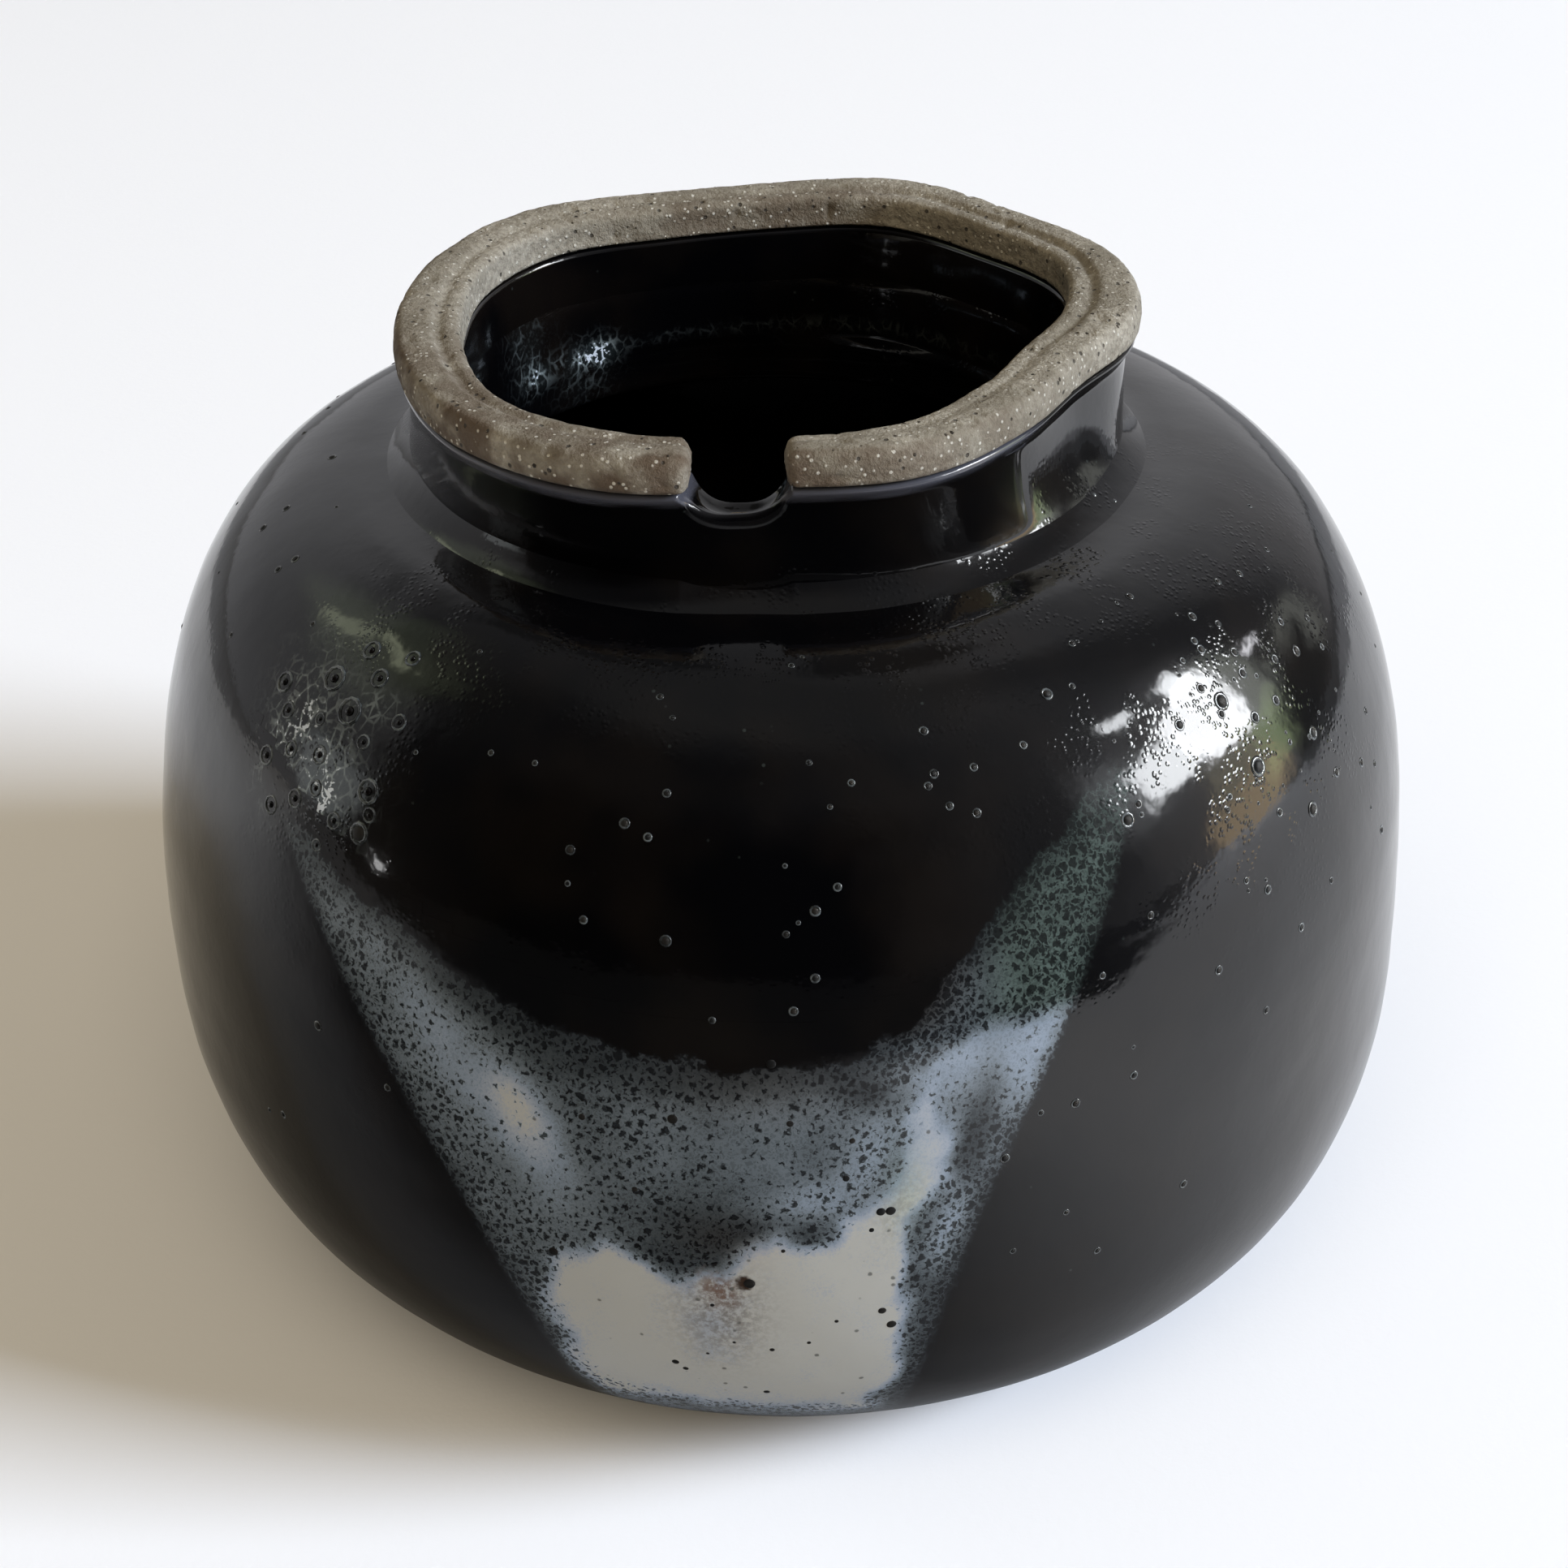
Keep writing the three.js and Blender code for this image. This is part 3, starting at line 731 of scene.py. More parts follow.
def pour_fields(points):
    """What the pour's finish reads at points: distances inside its edges, its thickness and its net."""
    azimuth, z = degrees_at(points), points[..., 2]
    radius = np.hypot(points[..., 0] - centre_x(z), points[..., 1])
    left = pour_edge(z, LEFT_ANGLES, LEFT_TOP)
    right = pour_edge(z, RIGHT_ANGLES, RIGHT_TOP)
    from_left = np.radians(azimuth - left) * radius * SLANT
    from_right = np.radians(right - azimuth) * radius * SLANT
    edge = np.minimum(np.minimum(from_left, from_right), z - POUR_FOOT + 1)
    drop = pour_top((azimuth - left) / np.maximum(right - left, 1e-6)) - z
    flat = points.reshape(-1, 3)
    sway = (bumps(flat, 3.4, 12) + 0.5 * bumps(flat, 1.7, 13)).reshape(azimuth.shape)
    inside = inside_distance(MILK_OUTLINE, azimuth, z, MM_PER_DEGREE) + 1.5 * sway
    milk = ease(-0.9, 2.6, inside)
    border = ease(-4.5, 0.5, inside) * (0.35 + 0.65 * ease(-100, -106, azimuth) + 0.65 * ease(22, 16, z))

    def near_left(distance):
        return np.exp(-((from_left - distance) / 6) ** 2)

    above = ease(-0.9, 0.9, z - ARM_LINE + 0.8 * np.maximum(0, ARM_LINE_BEND - azimuth) + 0.9 * sway)
    right_arm = ease(-86, -79, azimuth) * ease(50, 60, z)
    thick = 0.31 + 0.13 * near_left(5.5) + 0.1 * ease(44, 58, z) * near_left(9)
    arm_edge = ease(-83, -77, azimuth - 1.1 * (z - 62) * above)
    thick = thick + right_arm * (0.04 * above + 0.31 * (1 - above)) * arm_edge + patches(azimuth, z, THICKER)
    thick += 0.09 * between(azimuth, (-108, -100), (-78, -84)) * ease(40, 46, z)
    thick = np.maximum(thick, 0.62 * border + 0.1 * border * sway) + patches(azimuth, z, THICKER_LAST)
    thick += 0.22 * ease(17, 12, z) * ease(0.5, 3, edge) - 0.05 * ease(6, 1, drop) * ease(66, 58, z)
    cream = 0.96 - patches(azimuth, z, THIN_MILK) - 0.07 * ease(21, 14, z) + 0.04 * sway
    net = 0.82 - patches(azimuth, z, CLOSED_NET) + right_arm * (0.18 * above - 0.5 * (1 - above))
    net += 0.4 * ease(3, 0.5, from_right) * ease(66, 60, z) + 0.2 * ease(3.5, 0, from_left)
    warm = patches(azimuth, z, WARM_ARM) * ease(61, 64, z) + patches(azimuth, z, WARM)
    green = ease(62, 64, z) * ease(-76, -70, azimuth) + patches(azimuth, z, GREEN)
    return {
        "edge": edge,
        "drop": drop,
        "thick": thick * (1 - milk) + cream * milk,
        "net": np.clip(net, 0, 1) * (1 - 0.95 * milk ** 2),
        "warm": np.clip(warm, 0, 1),
        "green": np.clip(green, 0, 1),
        "mottle": np.clip(milk * patches(azimuth, z, MOTTLED), 0, 1),
    }


# Where the skin is grainy, on the right shoulder and the left
GRAINY = [(1, (-42, 80), (26, 13), 0), (0.7, (-134, 80), (10, 9), 0)]
# Milky froth round the burst bubbles on the left shoulder, with painted glints in it; the two short white
# streaks are painted highlights
FROTH_AND_GLINTS = [
    (0.9, (-136.5, 79.5), (6.5, 5.5), -0.6), (0.6, (-133.5, 73.5), (3, 4), 0),
    (0.5, (-141, 76.5), (2.4, 5), 0), (1.3, (-132.9, 75), (0.7, 2.6), 0.4),
    (0.8, (-138.2, 80), (0.6, 2.4), 0), (0.6, (-130.5, 84), (2.6, 1.2), 0.8),
]


def peel_at(points):
    """How grainy the glaze's skin is: most on the right shoulder and round the bubbles on the left one."""
    azimuth, z = degrees_at(points), points[..., 2]
    crease = np.exp(-(((z - 91) / 4) ** 2)) * between(azimuth, (-150, -120), (10, -30))
    return np.clip(0.12 + patches(azimuth, z, GRAINY) + 0.8 * crease, 0, 1)


# How deep the coat is cut under the pour, how thick the pour is and how far it stands off the coat's face
POUR_BED = 0.55
POUR_THICKNESS = 0.35
POUR_LIFT = 0.02
# How far the pour's mesh goes past the white's edges, clear there, so that the edges can be ragged
SIDE_MARGIN = 1.6
TOP_MARGIN = 4.5


def coat_and_pour(black, white):
    """The black coat round the outside, and the white pour let into its face."""
    azimuth = coat_columns()
    base = coat_grid(azimuth)
    grid = hand_shaped(base, normals_of(base))
    normals = normals_of(grid)
    rows, columns = grid.shape[:2]
    fields = pour_fields(grid)
    margin = (fields["edge"] > -SIDE_MARGIN) & (fields["drop"] > -TOP_MARGIN)
    margin &= grid[..., 2] < LEFT_TOP + 16
    margin[BODY_ROWS - 8:] = False
    whole = margin & np.roll(margin, -1, axis=1)
    whole = whole[:-1] & whole[1:]
    inner = np.zeros((rows, columns), bool)
    beside = np.roll(whole, 1, axis=1)
    inner[1:-1] = whole[1:] & whole[:-1] & beside[1:] & beside[:-1]

    face = grid - normals * (POUR_BED * inner)[..., None]
    back_rows = np.linspace(rows - 2, 1, 16).round().astype(int)
    back = grid[back_rows] - normals[back_rows] * COAT
    bead = []
    for inset, lift in ((0.9, 0.75), (0.35, 0.12)):
        r = np.full(columns, BASE_RADIUS - inset + 0.4)
        bead.append(from_grid(r, np.full(columns, BASE_HEIGHT + lift), azimuth))
    shell = np.concatenate([np.array(bead), face, back])
    shell_normals = normals_of(shell)
    shell_normals[2:2 + rows] = leaning(normals, azimuth)
    points = shell.reshape(-1, 3)
    around_axis = np.arctan2(points[:, 1], points[:, 0] - NECK_SHIFT)
    # Where the grey line under the rim is painted: a painted reflection of the paper in the glaze's bead, at
    # the front and the left.
    below = rim_bottom(around_axis) - points[:, 2] + 0.25 * bumps(points, 5, 14)
    thin = ease(1.7, 1.1, below) * (np.hypot(points[:, 0], points[:, 1]) > 33) * ease(-0.5, -0.9, around_axis)
    # Froth with painted glints round the burst bubbles.
    foam = patches(degrees_at(points), points[:, 2], FROTH_AND_GLINTS)
    faces, shell_normals = grid_faces(numbered(shell).tolist(), True), shell_normals.reshape(-1, 3)
    coat = make_piece("glaze_coat", points, faces, shell_normals, peel=peel_at(points), thin=thin, foam=foam)
    finish_piece(coat, black, "black_glaze", "outer_glaze", "gap_glaze")
    white_pour(grid, normals, whole, fields, white)
    return grid, normals


def white_pour(grid, normals, whole, fields, white):
    """The pour: a thin skin on those of the grid's quads that are whole."""
    rows, columns = grid.shape[:2]
    number = -np.ones((rows, columns), int)
    used = np.zeros((rows, columns), bool)
    for di in (0, 1):
        for dj in (0, 1):
            used[di:rows - 1 + di] |= np.roll(whole, dj, axis=1)
    number[used] = np.arange(used.sum())
    count = used.sum()
    faces, sides = [], {}
    for i, j in zip(*np.nonzero(whole)):
        k = (j + 1) % columns
        a, b, c, d = [int(number[p]) for p in ((i, j), (i, k), (i + 1, k), (i + 1, j))]
        faces.append((a, b, c, d))
        faces.append((d + count, c + count, b + count, a + count))
        for pair in ((a, b), (b, c), (c, d), (d, a)):
            if (pair[1], pair[0]) in sides:
                del sides[pair[1], pair[0]]
            else:
                sides[pair] = True
    faces += [(b, a, a + count, b + count) for a, b in sides]
    face_points = grid[used] + normals[used] * POUR_LIFT
    both = np.concatenate([face_points, face_points - normals[used] * POUR_THICKNESS])
    normals_both = np.concatenate([normals[used], -normals[used]])
    values = {key: np.tile(v[used], 2) for key, v in fields.items()}
    pour = make_piece("white_pour_coat", both, faces, normals_both, peel=peel_at(both), **values)
    finish_piece(pour, white, "white_glaze", "white_pour")


# Lining, foot and rim


# The throat's lower edge: where it begins, how far out from the neck's inside, and how high
LEDGE_HEIGHT = 90
LEDGE = [
    (0.0, 90.5), (0.05, 90.0), (0.18, 89.5), (0.36, 88.9), (0.52, 88.2), (0.62, 87.4), (0.68, 86.6),
    (0.78, 86.0), (1.05, 85.5), (1.5, 85.2), (2.2, 85.05),
]
LINING_THICKNESS = 0.55
LINING_SLOPE = 0.3
# Painted highlights inside, where the window is mirrored: place, size and how white
INSIDE_GLINTS = [
    (-20.9, 25.3, 91.7, 1.9, 1.7), (-23.2, 23, 91.9, 1.8, 0.6), (-27.6, 18.2, 91.6, 2.2, 0.85),
    (-28.2, 17, 96, 3, 0.25), (-22, 24, 88.6, 3.2, 0.2),
]


def lining(black):
    """The glaze inside: the neck's throat, a rounded ledge where it opens, the wall and the floor."""
    columns = 240
    azimuth = np.arange(columns) / columns * 2 * np.pi
    r, z = body_columns(azimuth, LINING_DEPTH, 64, NECK_INNER + 3)
    r, z = r[::-1], z[::-1]
    grids = []
    for depth in (0, -LINING_THICKNESS):
        throat_z = np.linspace(LINING_START, LEDGE_HEIGHT + 1.2, 12)[:, None] + 0 * azimuth
        widening = (round_value(RIM_INNER, azimuth) - NECK_INNER) * (throat_z - THROAT_FOOT) / THROAT_LENGTH
        throat_r = NECK_INNER + widening + TUCK * ease(LINING_START - 1.8, LINING_START, throat_z)
        ledge_r, ledge_z = all_round(LEDGE, azimuth)
        wall_z = z + LINING_SLOPE * depth * np.sign(60 - z)
        floor_r = np.linspace(BASE_RADIUS, 2, 16)[1:, None] + 0 * azimuth
        floor_z = np.full_like(floor_r, FLOOR_TOP + depth)
        all_r = np.concatenate([throat_r - depth, NECK_INNER + ledge_r - depth, r - depth, floor_r])
        all_z = np.concatenate([throat_z, ledge_z, wall_z, floor_z])
        grids.append(from_grid(all_r, all_z, azimuth))
    face, back = grids
    flat = face.reshape(-1, 3)
    sway = (bumps(flat, 9, 5) * 0.12 + bumps(flat, 3.5, 6) * 0.05).reshape(face.shape[:2])
    face = face + normals_of(face) * sway[..., None]
    back = back[::4]
    rings = [*face, face[-1].mean(axis=0)[None], back[-1].mean(axis=0)[None], *back[::-1]]
    index, points, start = [], [], 0
    for ring in rings:
        index.append(list(range(start, start + len(ring))))
        points.extend(ring.tolist())
        start += len(ring)
    faces = grid_faces(index, False)
    last, first = index[-1], index[0]
    faces += [(last[j], last[(j + 1) % columns], first[(j + 1) % columns], first[j]) for j in range(columns)]
    faces = [f for f in faces if len(set(f)) == len(f)]
    points = np.array(points)
    # Painted reflections of the window on the inside wall.
    foam = 0.0
    for *place, size, white in INSIDE_GLINTS:
        foam += white * np.exp(-(((points - place) * (1, 1, 1.3)) ** 2).sum(axis=1) / size ** 2)
    round_axis = degrees_at(points)
    # A thin grey arc along the ledge: a painted highlight.
    line = 92.6 + 0.5 * np.sin(np.radians(round_axis * 2))
    foam += 0.09 * np.exp(-(((points[:, 2] - line) / 0.6) ** 2)) * between(round_axis, (20, 60), (160, 130))
    piece = make_piece("inside_glaze", points, faces, peel=np.full(len(points), 0.45), foam=foam)
    finish_piece(piece, black, "black_glaze", "inner_glaze")


def foot(clay):
    """A trimmed foot ring with worn edges."""
    columns = 220
    azimuth = np.arange(columns) / columns * 2 * np.pi
    inner = FOOT_OUTER - FOOT_WIDTH
    outline = [
        (FOOT_OUTER, FOOT_TOP), (FOOT_OUTER, 1.1), (FOOT_OUTER - 0.15, 0.5), (FOOT_OUTER - 0.5, 0.12),
        (FOOT_OUTER - 1, 0), (FOOT_OUTER - 2.5, 0), (inner + 2.5, 0), (inner + 1, 0), (inner + 0.4, 0.15),
        (inner + 0.1, 0.5), (inner, 1.1), (inner, FOOT_TOP),
    ]
    r, z = all_round(outline, azimuth)
    grid = from_grid(r + 0.12 * np.sin(3 * azimuth + 1), z, azimuth)
    points, faces = grid.reshape(-1, 3), grid_faces(numbered(grid).tolist(), True)
    piece = make_piece("foot", points, faces, scorch=np.full(len(points), 0.3))
    finish_piece(piece, clay, "bare_clay", "foot_ring")


# The pressed line on top, how round the ends are, and over how many degrees they turn square to the gap
GROOVE_PLACE = 0.34
GROOVE_TOP = 3.95
END_ROUND = 1.5
SQUARE_ENDS = 14


def rim_section(points):
    """The rim's outline: across it from the mouth (0) to outside (1), and up from its underside in mm."""
    outline = [
        (0.02, 0.0), (0.0, 0.5), (0.0, 3.0), (0.04, 3.55), (0.12, 3.8), (GROOVE_PLACE - 0.07, 3.85),
        (GROOVE_PLACE - 0.02, 3.5), (GROOVE_PLACE + 0.03, 3.6), (GROOVE_PLACE + 0.08, 4.1), (0.6, 4.2),
        (0.84, 4.15), (0.93, 3.85), (0.985, 3.0), (1.0, 2.2), (1.0, 1.2), (0.97, 0.4), (0.88, 0.0),
        (0.5, 0.0), (0.2, 0.0),
    ]
    u, v = np.array(outline + outline[:1]).T
    length = np.concatenate([[0], np.cumsum(np.hypot(np.diff(u) * 7, np.diff(v)))])
    steps = np.arange(points) / points * length[-1]
    even = [np.interp(steps, length, values) for values in (u, v)]
    return [0.5 * values + 0.25 * (np.roll(values, 1) + np.roll(values, -1)) for values in even]


def rim_face():
    """The rim's face before it is pressed: its outline at each step from one end round to the other."""
    right_x, left_x = [GAP_CENTRE + side * GAP_WIDTH / 2 - NECK_SHIFT for side in (1, -1)]
    start = math.atan2(-math.sqrt(END_RADIUS ** 2 - right_x ** 2), right_x)
    stop = math.atan2(-math.sqrt(END_RADIUS ** 2 - left_x ** 2), left_x) + 2 * math.pi
    round_way = np.linspace(start, stop, RIM_STATIONS)
    from_end = np.minimum(round_way - start, stop - round_way)
    round_way, from_end = round_way[:, None], from_end[:, None]
    u, v = rim_section(RIM_POINTS)
    inner = round_value(RIM_INNER, round_way)
    width = round_value(RIM_OUTER, round_way) - inner

    groove = 0.75 + 0.45 * np.sin(2 * round_way + 0.6)
    pressed_line = (np.abs(u - GROOVE_PLACE) < 0.12) & (v > 3)
    up = np.where(pressed_line, GROOVE_TOP - (GROOVE_TOP - v) * groove, v)
    closing = np.clip(1 - from_end * END_RADIUS / END_ROUND, 0, 1)
    shrink = (1 - np.sqrt(1 - closing ** 2)) * END_ROUND
    half_width, half_height = width / 2, RIM_HEIGHT / 2
    across = half_width + (width * u - half_width) * np.maximum(half_width - shrink, 0.3) / half_width
    up = half_height + (up - half_height) * np.maximum(half_height - shrink, 0.3) / half_height
    radius = inner + across

    square = 1 - ease(0, math.radians(SQUARE_ENDS), from_end)
    flat_angle = -np.arccos(np.clip(END_RADIUS * np.cos(round_way) / radius, -1, 1))
    plain = (round_way + np.pi) % (2 * np.pi) - np.pi
    angle = plain + (np.where(square > 0, flat_angle, plain) - plain) * square
    return from_grid(radius, rim_bottom(round_way) + up, angle), up


def rim_shade_and_browning(points):
    """Where the rim is painted browner: painted warm shade on its low outside and its front, and browner
    inside at the back.
    """
    azimuth = degrees_at(points)
    radial = np.hypot(points[:, 0] - centre_x(points[:, 2]), points[:, 1])
    in_from_outside = round_value(RIM_OUTER, np.radians(azimuth)) - radial
    low = ease(RIM_TOP - 0.1, RIM_TOP - 0.9, points[:, 2])
    front = between(azimuth, (-175, -150), (-70, -100))
    # Painted warm shade on the low outer face and over the front and left; browner inside at the back.
    scorch = ease(1.5, 0.6, in_from_outside) * low * (0.1 + 0.6 * ease(-25, -70, azimuth) + 0.3 * front)
    scorch += 0.55 * front + 0.2 * ease(-80, -100, azimuth) + 0.1 * ease(20, 60, azimuth)
    scorch += 0.6 * ease(3, 5, in_from_outside) * between(azimuth, (60, 75), (125, 105))
    return np.clip(scorch, 0, 1)


def rim(clay):
    """The thick bare strip laid on the neck, with a pressed line on top and a gap at the front."""
    grid, up = rim_face()
    flat = grid.reshape(-1, 3)
    outward = normals_of(grid)
    if np.sum(outward * (grid - grid.mean(axis=1, keepdims=True))) < 0:
        outward = -outward
    pressed = 0.22 * lumps(flat, 7, 7) + 0.12 * lumps(flat, 2.6, 8)
    dents = 0.25 * ease(0.35, 0.7, bumps(flat, 1.6, 10))
    depth = (pressed + 0.12 * lumps(flat, 0.9, 9) + dents).reshape(grid.shape[:2])
    grid = grid - outward * (depth * (0.3 + 0.7 * ease(0.3, 1, up)))[..., None]

    index = numbered(grid).tolist()
    points = grid.reshape(-1, 3).tolist()
    faces = grid_faces(index, False)
    for row, flip in ((0, True), (-1, False)):
        pole, ring = len(points), index[row]
        points.append(grid[row].mean(axis=0).tolist())
        for a, b in zip(ring, ring[1:] + ring[:1]):
            faces.append((b, a, pole) if flip else (a, b, pole))
    points = np.array(points)
    piece = make_piece("clay_rim", points, faces, scorch=rim_shade_and_browning(points))
    finish_piece(piece, clay, "bare_clay", "rim_strip")
    return grid, outward


# Small repeated things


SHAPE_INPUTS = {
    "Ring radius": "Float",
    "Ring thickness": "Float",
    "Pit radius": "Float",
    "Flatness": "Float",
    "Ring material": "Material",
    "Pit material": "Material",
}


def scatter_tree(name, grain):
    """A tree that sets a small shape on each point of a mesh, facing the point's own way at its own size."""
    tree = bpy.data.node_groups.new(name, "GeometryNodeTree")
    sockets = {}
    tree.interface.new_socket("Geometry", in_out="INPUT", socket_type="NodeSocketGeometry")
    for label, kind in SHAPE_INPUTS.items():
        made = tree.interface.new_socket(label, in_out="INPUT", socket_type="NodeSocket" + kind)
        sockets[label] = made.identifier
    tree.interface.new_socket("Geometry", in_out="OUTPUT", socket_type="NodeSocketGeometry")
    graph = Graph(tree)
    given = tree.nodes.new("NodeGroupInput")

    def asked(label):
        return Value(graph, given.outputs[label])

    points = graph.add("GeometryNodeMeshToPoints", {}, {"Mesh": asked("Geometry")})
    ball = {"Radius": asked("Pit radius"), "Subdivisions": 1 if grain else 2}
    pit = graph.add("GeometryNodeMeshIcoSphere", {}, ball)
    pit = graph.add("GeometryNodeSetMaterial", {}, {"Geometry": pit, "Material": asked("Pit material")})
    shape = pit
    if not grain:
        circle, tube = [
            graph.add("GeometryNodeCurvePrimitiveCircle", {}, {"Resolution": steps, "Radius": asked(label)})
            for steps, label in ((11, "Ring radius"), (5, "Ring thickness"))
        ]
        ring = graph.add("GeometryNodeCurveToMesh", {}, {"Curve": circle, "Profile Curve": tube})
        finish = {"Geometry": ring, "Material": asked("Ring material")}
        ring = graph.add("GeometryNodeSetMaterial", {}, finish)
        shape = graph.add("GeometryNodeJoinGeometry", {}, {"Geometry": ring})
        tree.links.new(pit.socket, shape.socket.node.inputs[0])
    flat = graph.add("ShaderNodeCombineXYZ", {}, {0: 1.0, 1: 1.0, 2: asked("Flatness")})
    shape = graph.add("GeometryNodeTransform", {}, {"Geometry": shape, "Scale": flat})
    facing = graph.add("GeometryNodeInputNamedAttribute", {"data_type": "FLOAT_VECTOR"}, {"Name": "facing"})
    size = graph.add("GeometryNodeInputNamedAttribute", {"data_type": "FLOAT"}, {"Name": "size"})
    turn = graph.add("FunctionNodeAlignRotationToVector", {"axis": "Z"}, {"Vector": facing})
    placing = {"Points": points, "Instance": shape, "Rotation": turn, "Scale": size}
    placed = graph.add("GeometryNodeInstanceOnPoints", {}, placing)
    made = graph.add("GeometryNodeRealizeInstances", {}, {"Geometry": placed})
    made = graph.add("GeometryNodeSetShadeSmooth", {}, {0: made})
    end = tree.nodes.new("NodeGroupOutput")
    tree.links.new(made.socket, end.inputs[0])
    return tree, sockets


def scatter(name, tree_and_sockets, places, slot, shape, ring_material, pit_material):
    """A piece with one small shape at each (point, facing, size), as a plain mesh."""
    tree, sockets = tree_and_sockets
    mesh = bpy.data.meshes.new(name)
    mesh.from_pydata([(np.asarray(p) * MM).tolist() for p, _, _ in places], [], [])
    facing = mesh.attributes.new("facing", "FLOAT_VECTOR", "POINT")
    facing.data.foreach_set("vector", np.array([f for _, f, _ in places], np.float32).ravel())
    size = mesh.attributes.new("size", "FLOAT", "POINT")
    size.data.foreach_set("value", np.array([s for _, _, s in places], np.float32))
    host = bpy.data.objects.new(name, mesh)
    scene.collection.objects.link(host)
    modifier = host.modifiers.new("scatter", "NODES")
    modifier.node_group = tree
    *lengths, flatness = shape
    values = [length * MM for length in lengths] + [flatness, ring_material, pit_material]
    for label, value in zip(SHAPE_INPUTS, values):
        modifier[sockets[label]] = value
    bpy.context.view_layer.update()
    done = host.evaluated_get(bpy.context.evaluated_depsgraph_get())
    plain = bpy.data.meshes.new_from_object(done)
    host.modifiers.clear()
    host.data = plain
    finish_piece(host, None, slot)


def spread(rng, grid, normals, count, weight, sizes, sink=0.0):
    """Random places on a grid, likelier where weight is high, each with a size between two shares."""
    chance = (weight / weight.sum()).ravel()
    picked = rng.choice(len(chance), count, replace=False, p=chance)
    points, facing = grid.reshape(-1, 3)[picked], normals.reshape(-1, 3)[picked]
    drawn = sizes[0] + (sizes[1] - sizes[0]) * rng.random(count) ** 2
    return [(p - n * sink, n, s) for p, n, s in zip(points, facing, drawn)]


def nearest(grid, normals, azimuth, z):
    """The grid's point closest to an azimuth (degrees) and a height, and its normal."""
    body = grid[:BODY_ROWS + 12]
    miss = ((degrees_at(body) - azimuth) * 1.2) ** 2 + (body[..., 2] - z) ** 2
    i, j = np.unravel_index(np.argmin(miss), miss.shape)
    return grid[i, j], normals[i, j]


# Shapes that are scattered: the ring's radius and thickness and the pit's radius in mm, and how flat they are
PINHOLE = (0.42, 0.13, 0.34, 0.42)
BURST_BUBBLE = (0.5, 0.09, 0.2, 0.7)
CREASE_BUBBLE = (0.3, 0.14, 0.3, 0.9)
WHITE_PIT = (0.3, 0.08, 0.4, 0.2)
CLAY_GRAIN = (0.1, 0.1, 0.26, 0.5)
# Pits that the white glaze shows, as azimuth, height and size
WHITE_PITS = [
    (-105.5, 53.1, 0.9), (-98.2, 54.2, 1.3), (-89.2, 54.1, 0.9), (-84.6, 51.7, 0.8), (-84.8, 48.3, 0.9),
    (-101.5, 45.4, 0.8), (-108.7, 36.2, 1.3), (-82.7, 43.6, 1.2), (-90.5, 60.2, 1.2), (-81.3, 43.9, 1.3),
    (-82.6, 31.7, 1.1), (-81.3, 29.3, 1.3), (-99.4, 23.3, 1.0), (-98.6, 22.4, 0.8), (-91.0, 26.7, 0.7),
    (-91.9, 18.4, 0.9), (-92.8, 35.8, 1.5), (-83.2, 42, 0.7), (-95.9, 32.2, 0.6), (-90, 39.8, 0.6),
    (-86, 30.4, 0.6), (-88.3, 27.6, 0.6), (-94.5, 27.5, 0.5), (-96.9, 25.1, 0.5),
]
# Craters and pinholes of the black glaze
BLACK_PITS = [
    (-130.6, 53.1, 1.1), (-66.1, 52.4, 1.0), (-69.1, 52.5, 0.7), (-71.7, 36.8, 0.7), (-88.7, 65.3, 0.9),
    (-86.8, 68.1, 0.9), (-86.4, 74.1, 1.0), (-84.2, 75.9, 0.8), (-98.8, 71.7, 1.1), (-102.6, 80.6, 1.0),
    (-106.9, 77.7, 0.9), (-105.8, 72.2, 0.8), (-89.0, 72.1, 0.7), (-75.5, 83.0, 0.8), (-74.7, 83.7, 0.9),
    (-70.7, 83.6, 0.8), (-65.2, 84.5, 0.8), (-71.5, 80.5, 0.9), (-74.4, 86.7, 0.9), (-86.1, 85.0, 0.6),
    (-82.2, 83.9, 0.7), (-57.7, 87.3, 0.7), (-36.8, 84.9, 1.0), (-116.7, 83.5, 0.6), (-102.5, 80.5, 0.7),
    (-99.0, 83.3, 0.8), (-128.1, 74.6, 2.2), (-168.5, 89, 1.0), (-167.4, 87, 1.0), (-156, 88.4, 1.0),
    (-177.9, 91, 1.0), (-157, 87.3, 0.9), (-41.8, 76.3, 2.0), (-36.4, 70.3, 1.6), (-42.6, 82.2, 1.8),
    (-32.7, 75.5, 1.4), (-57.6, 77, 1.5), (-39.3, 80.2, 1.2), (-28.8, 82, 1.2), (-41.3, 59.2, 1.0),
    (-35.2, 62, 0.8), (-51.8, 60.3, 1.0), (-46.3, 52.9, 0.9), (-60.7, 52.8, 0.9), (-67.4, 39.4, 0.7),
    (-95.5, 64, 0.7), (-115.5, 93, 1.6), (-122.3, 92.2, 1.2), (-63.7, 33.5, 0.8),
]
# Where more pinholes lie at random, on the right shoulder
PITTED = [(1, (-38, 78), (20, 13), 0)]
# Burst bubbles on the left shoulder
BURST_BUBBLES = [
    (-143, 82.5, 2.0), (-140.5, 80.2, 1.6), (-137, 84.5, 2.4), (-133.4, 83.2, 2.6), (-131.6, 85.8, 1.8),
    (-138.4, 77.5, 1.6), (-141.5, 76.2, 1.9), (-134.8, 79.2, 1.7), (-130.2, 81.4, 1.4), (-136.4, 74.4, 1.8),
    (-128.2, 78.2, 2.3), (-133.6, 76.4, 1.5), (-131.2, 74.2, 1.6), (-139.6, 72.4, 1.8), (-127, 83.8, 1.5),
    (-134.6, 87.2, 1.8), (-129.4, 87.6, 1.5), (-136.2, 81.6, 1.2), (-126.8, 76.5, 1.4), (-132.8, 71.6, 1.2),
]


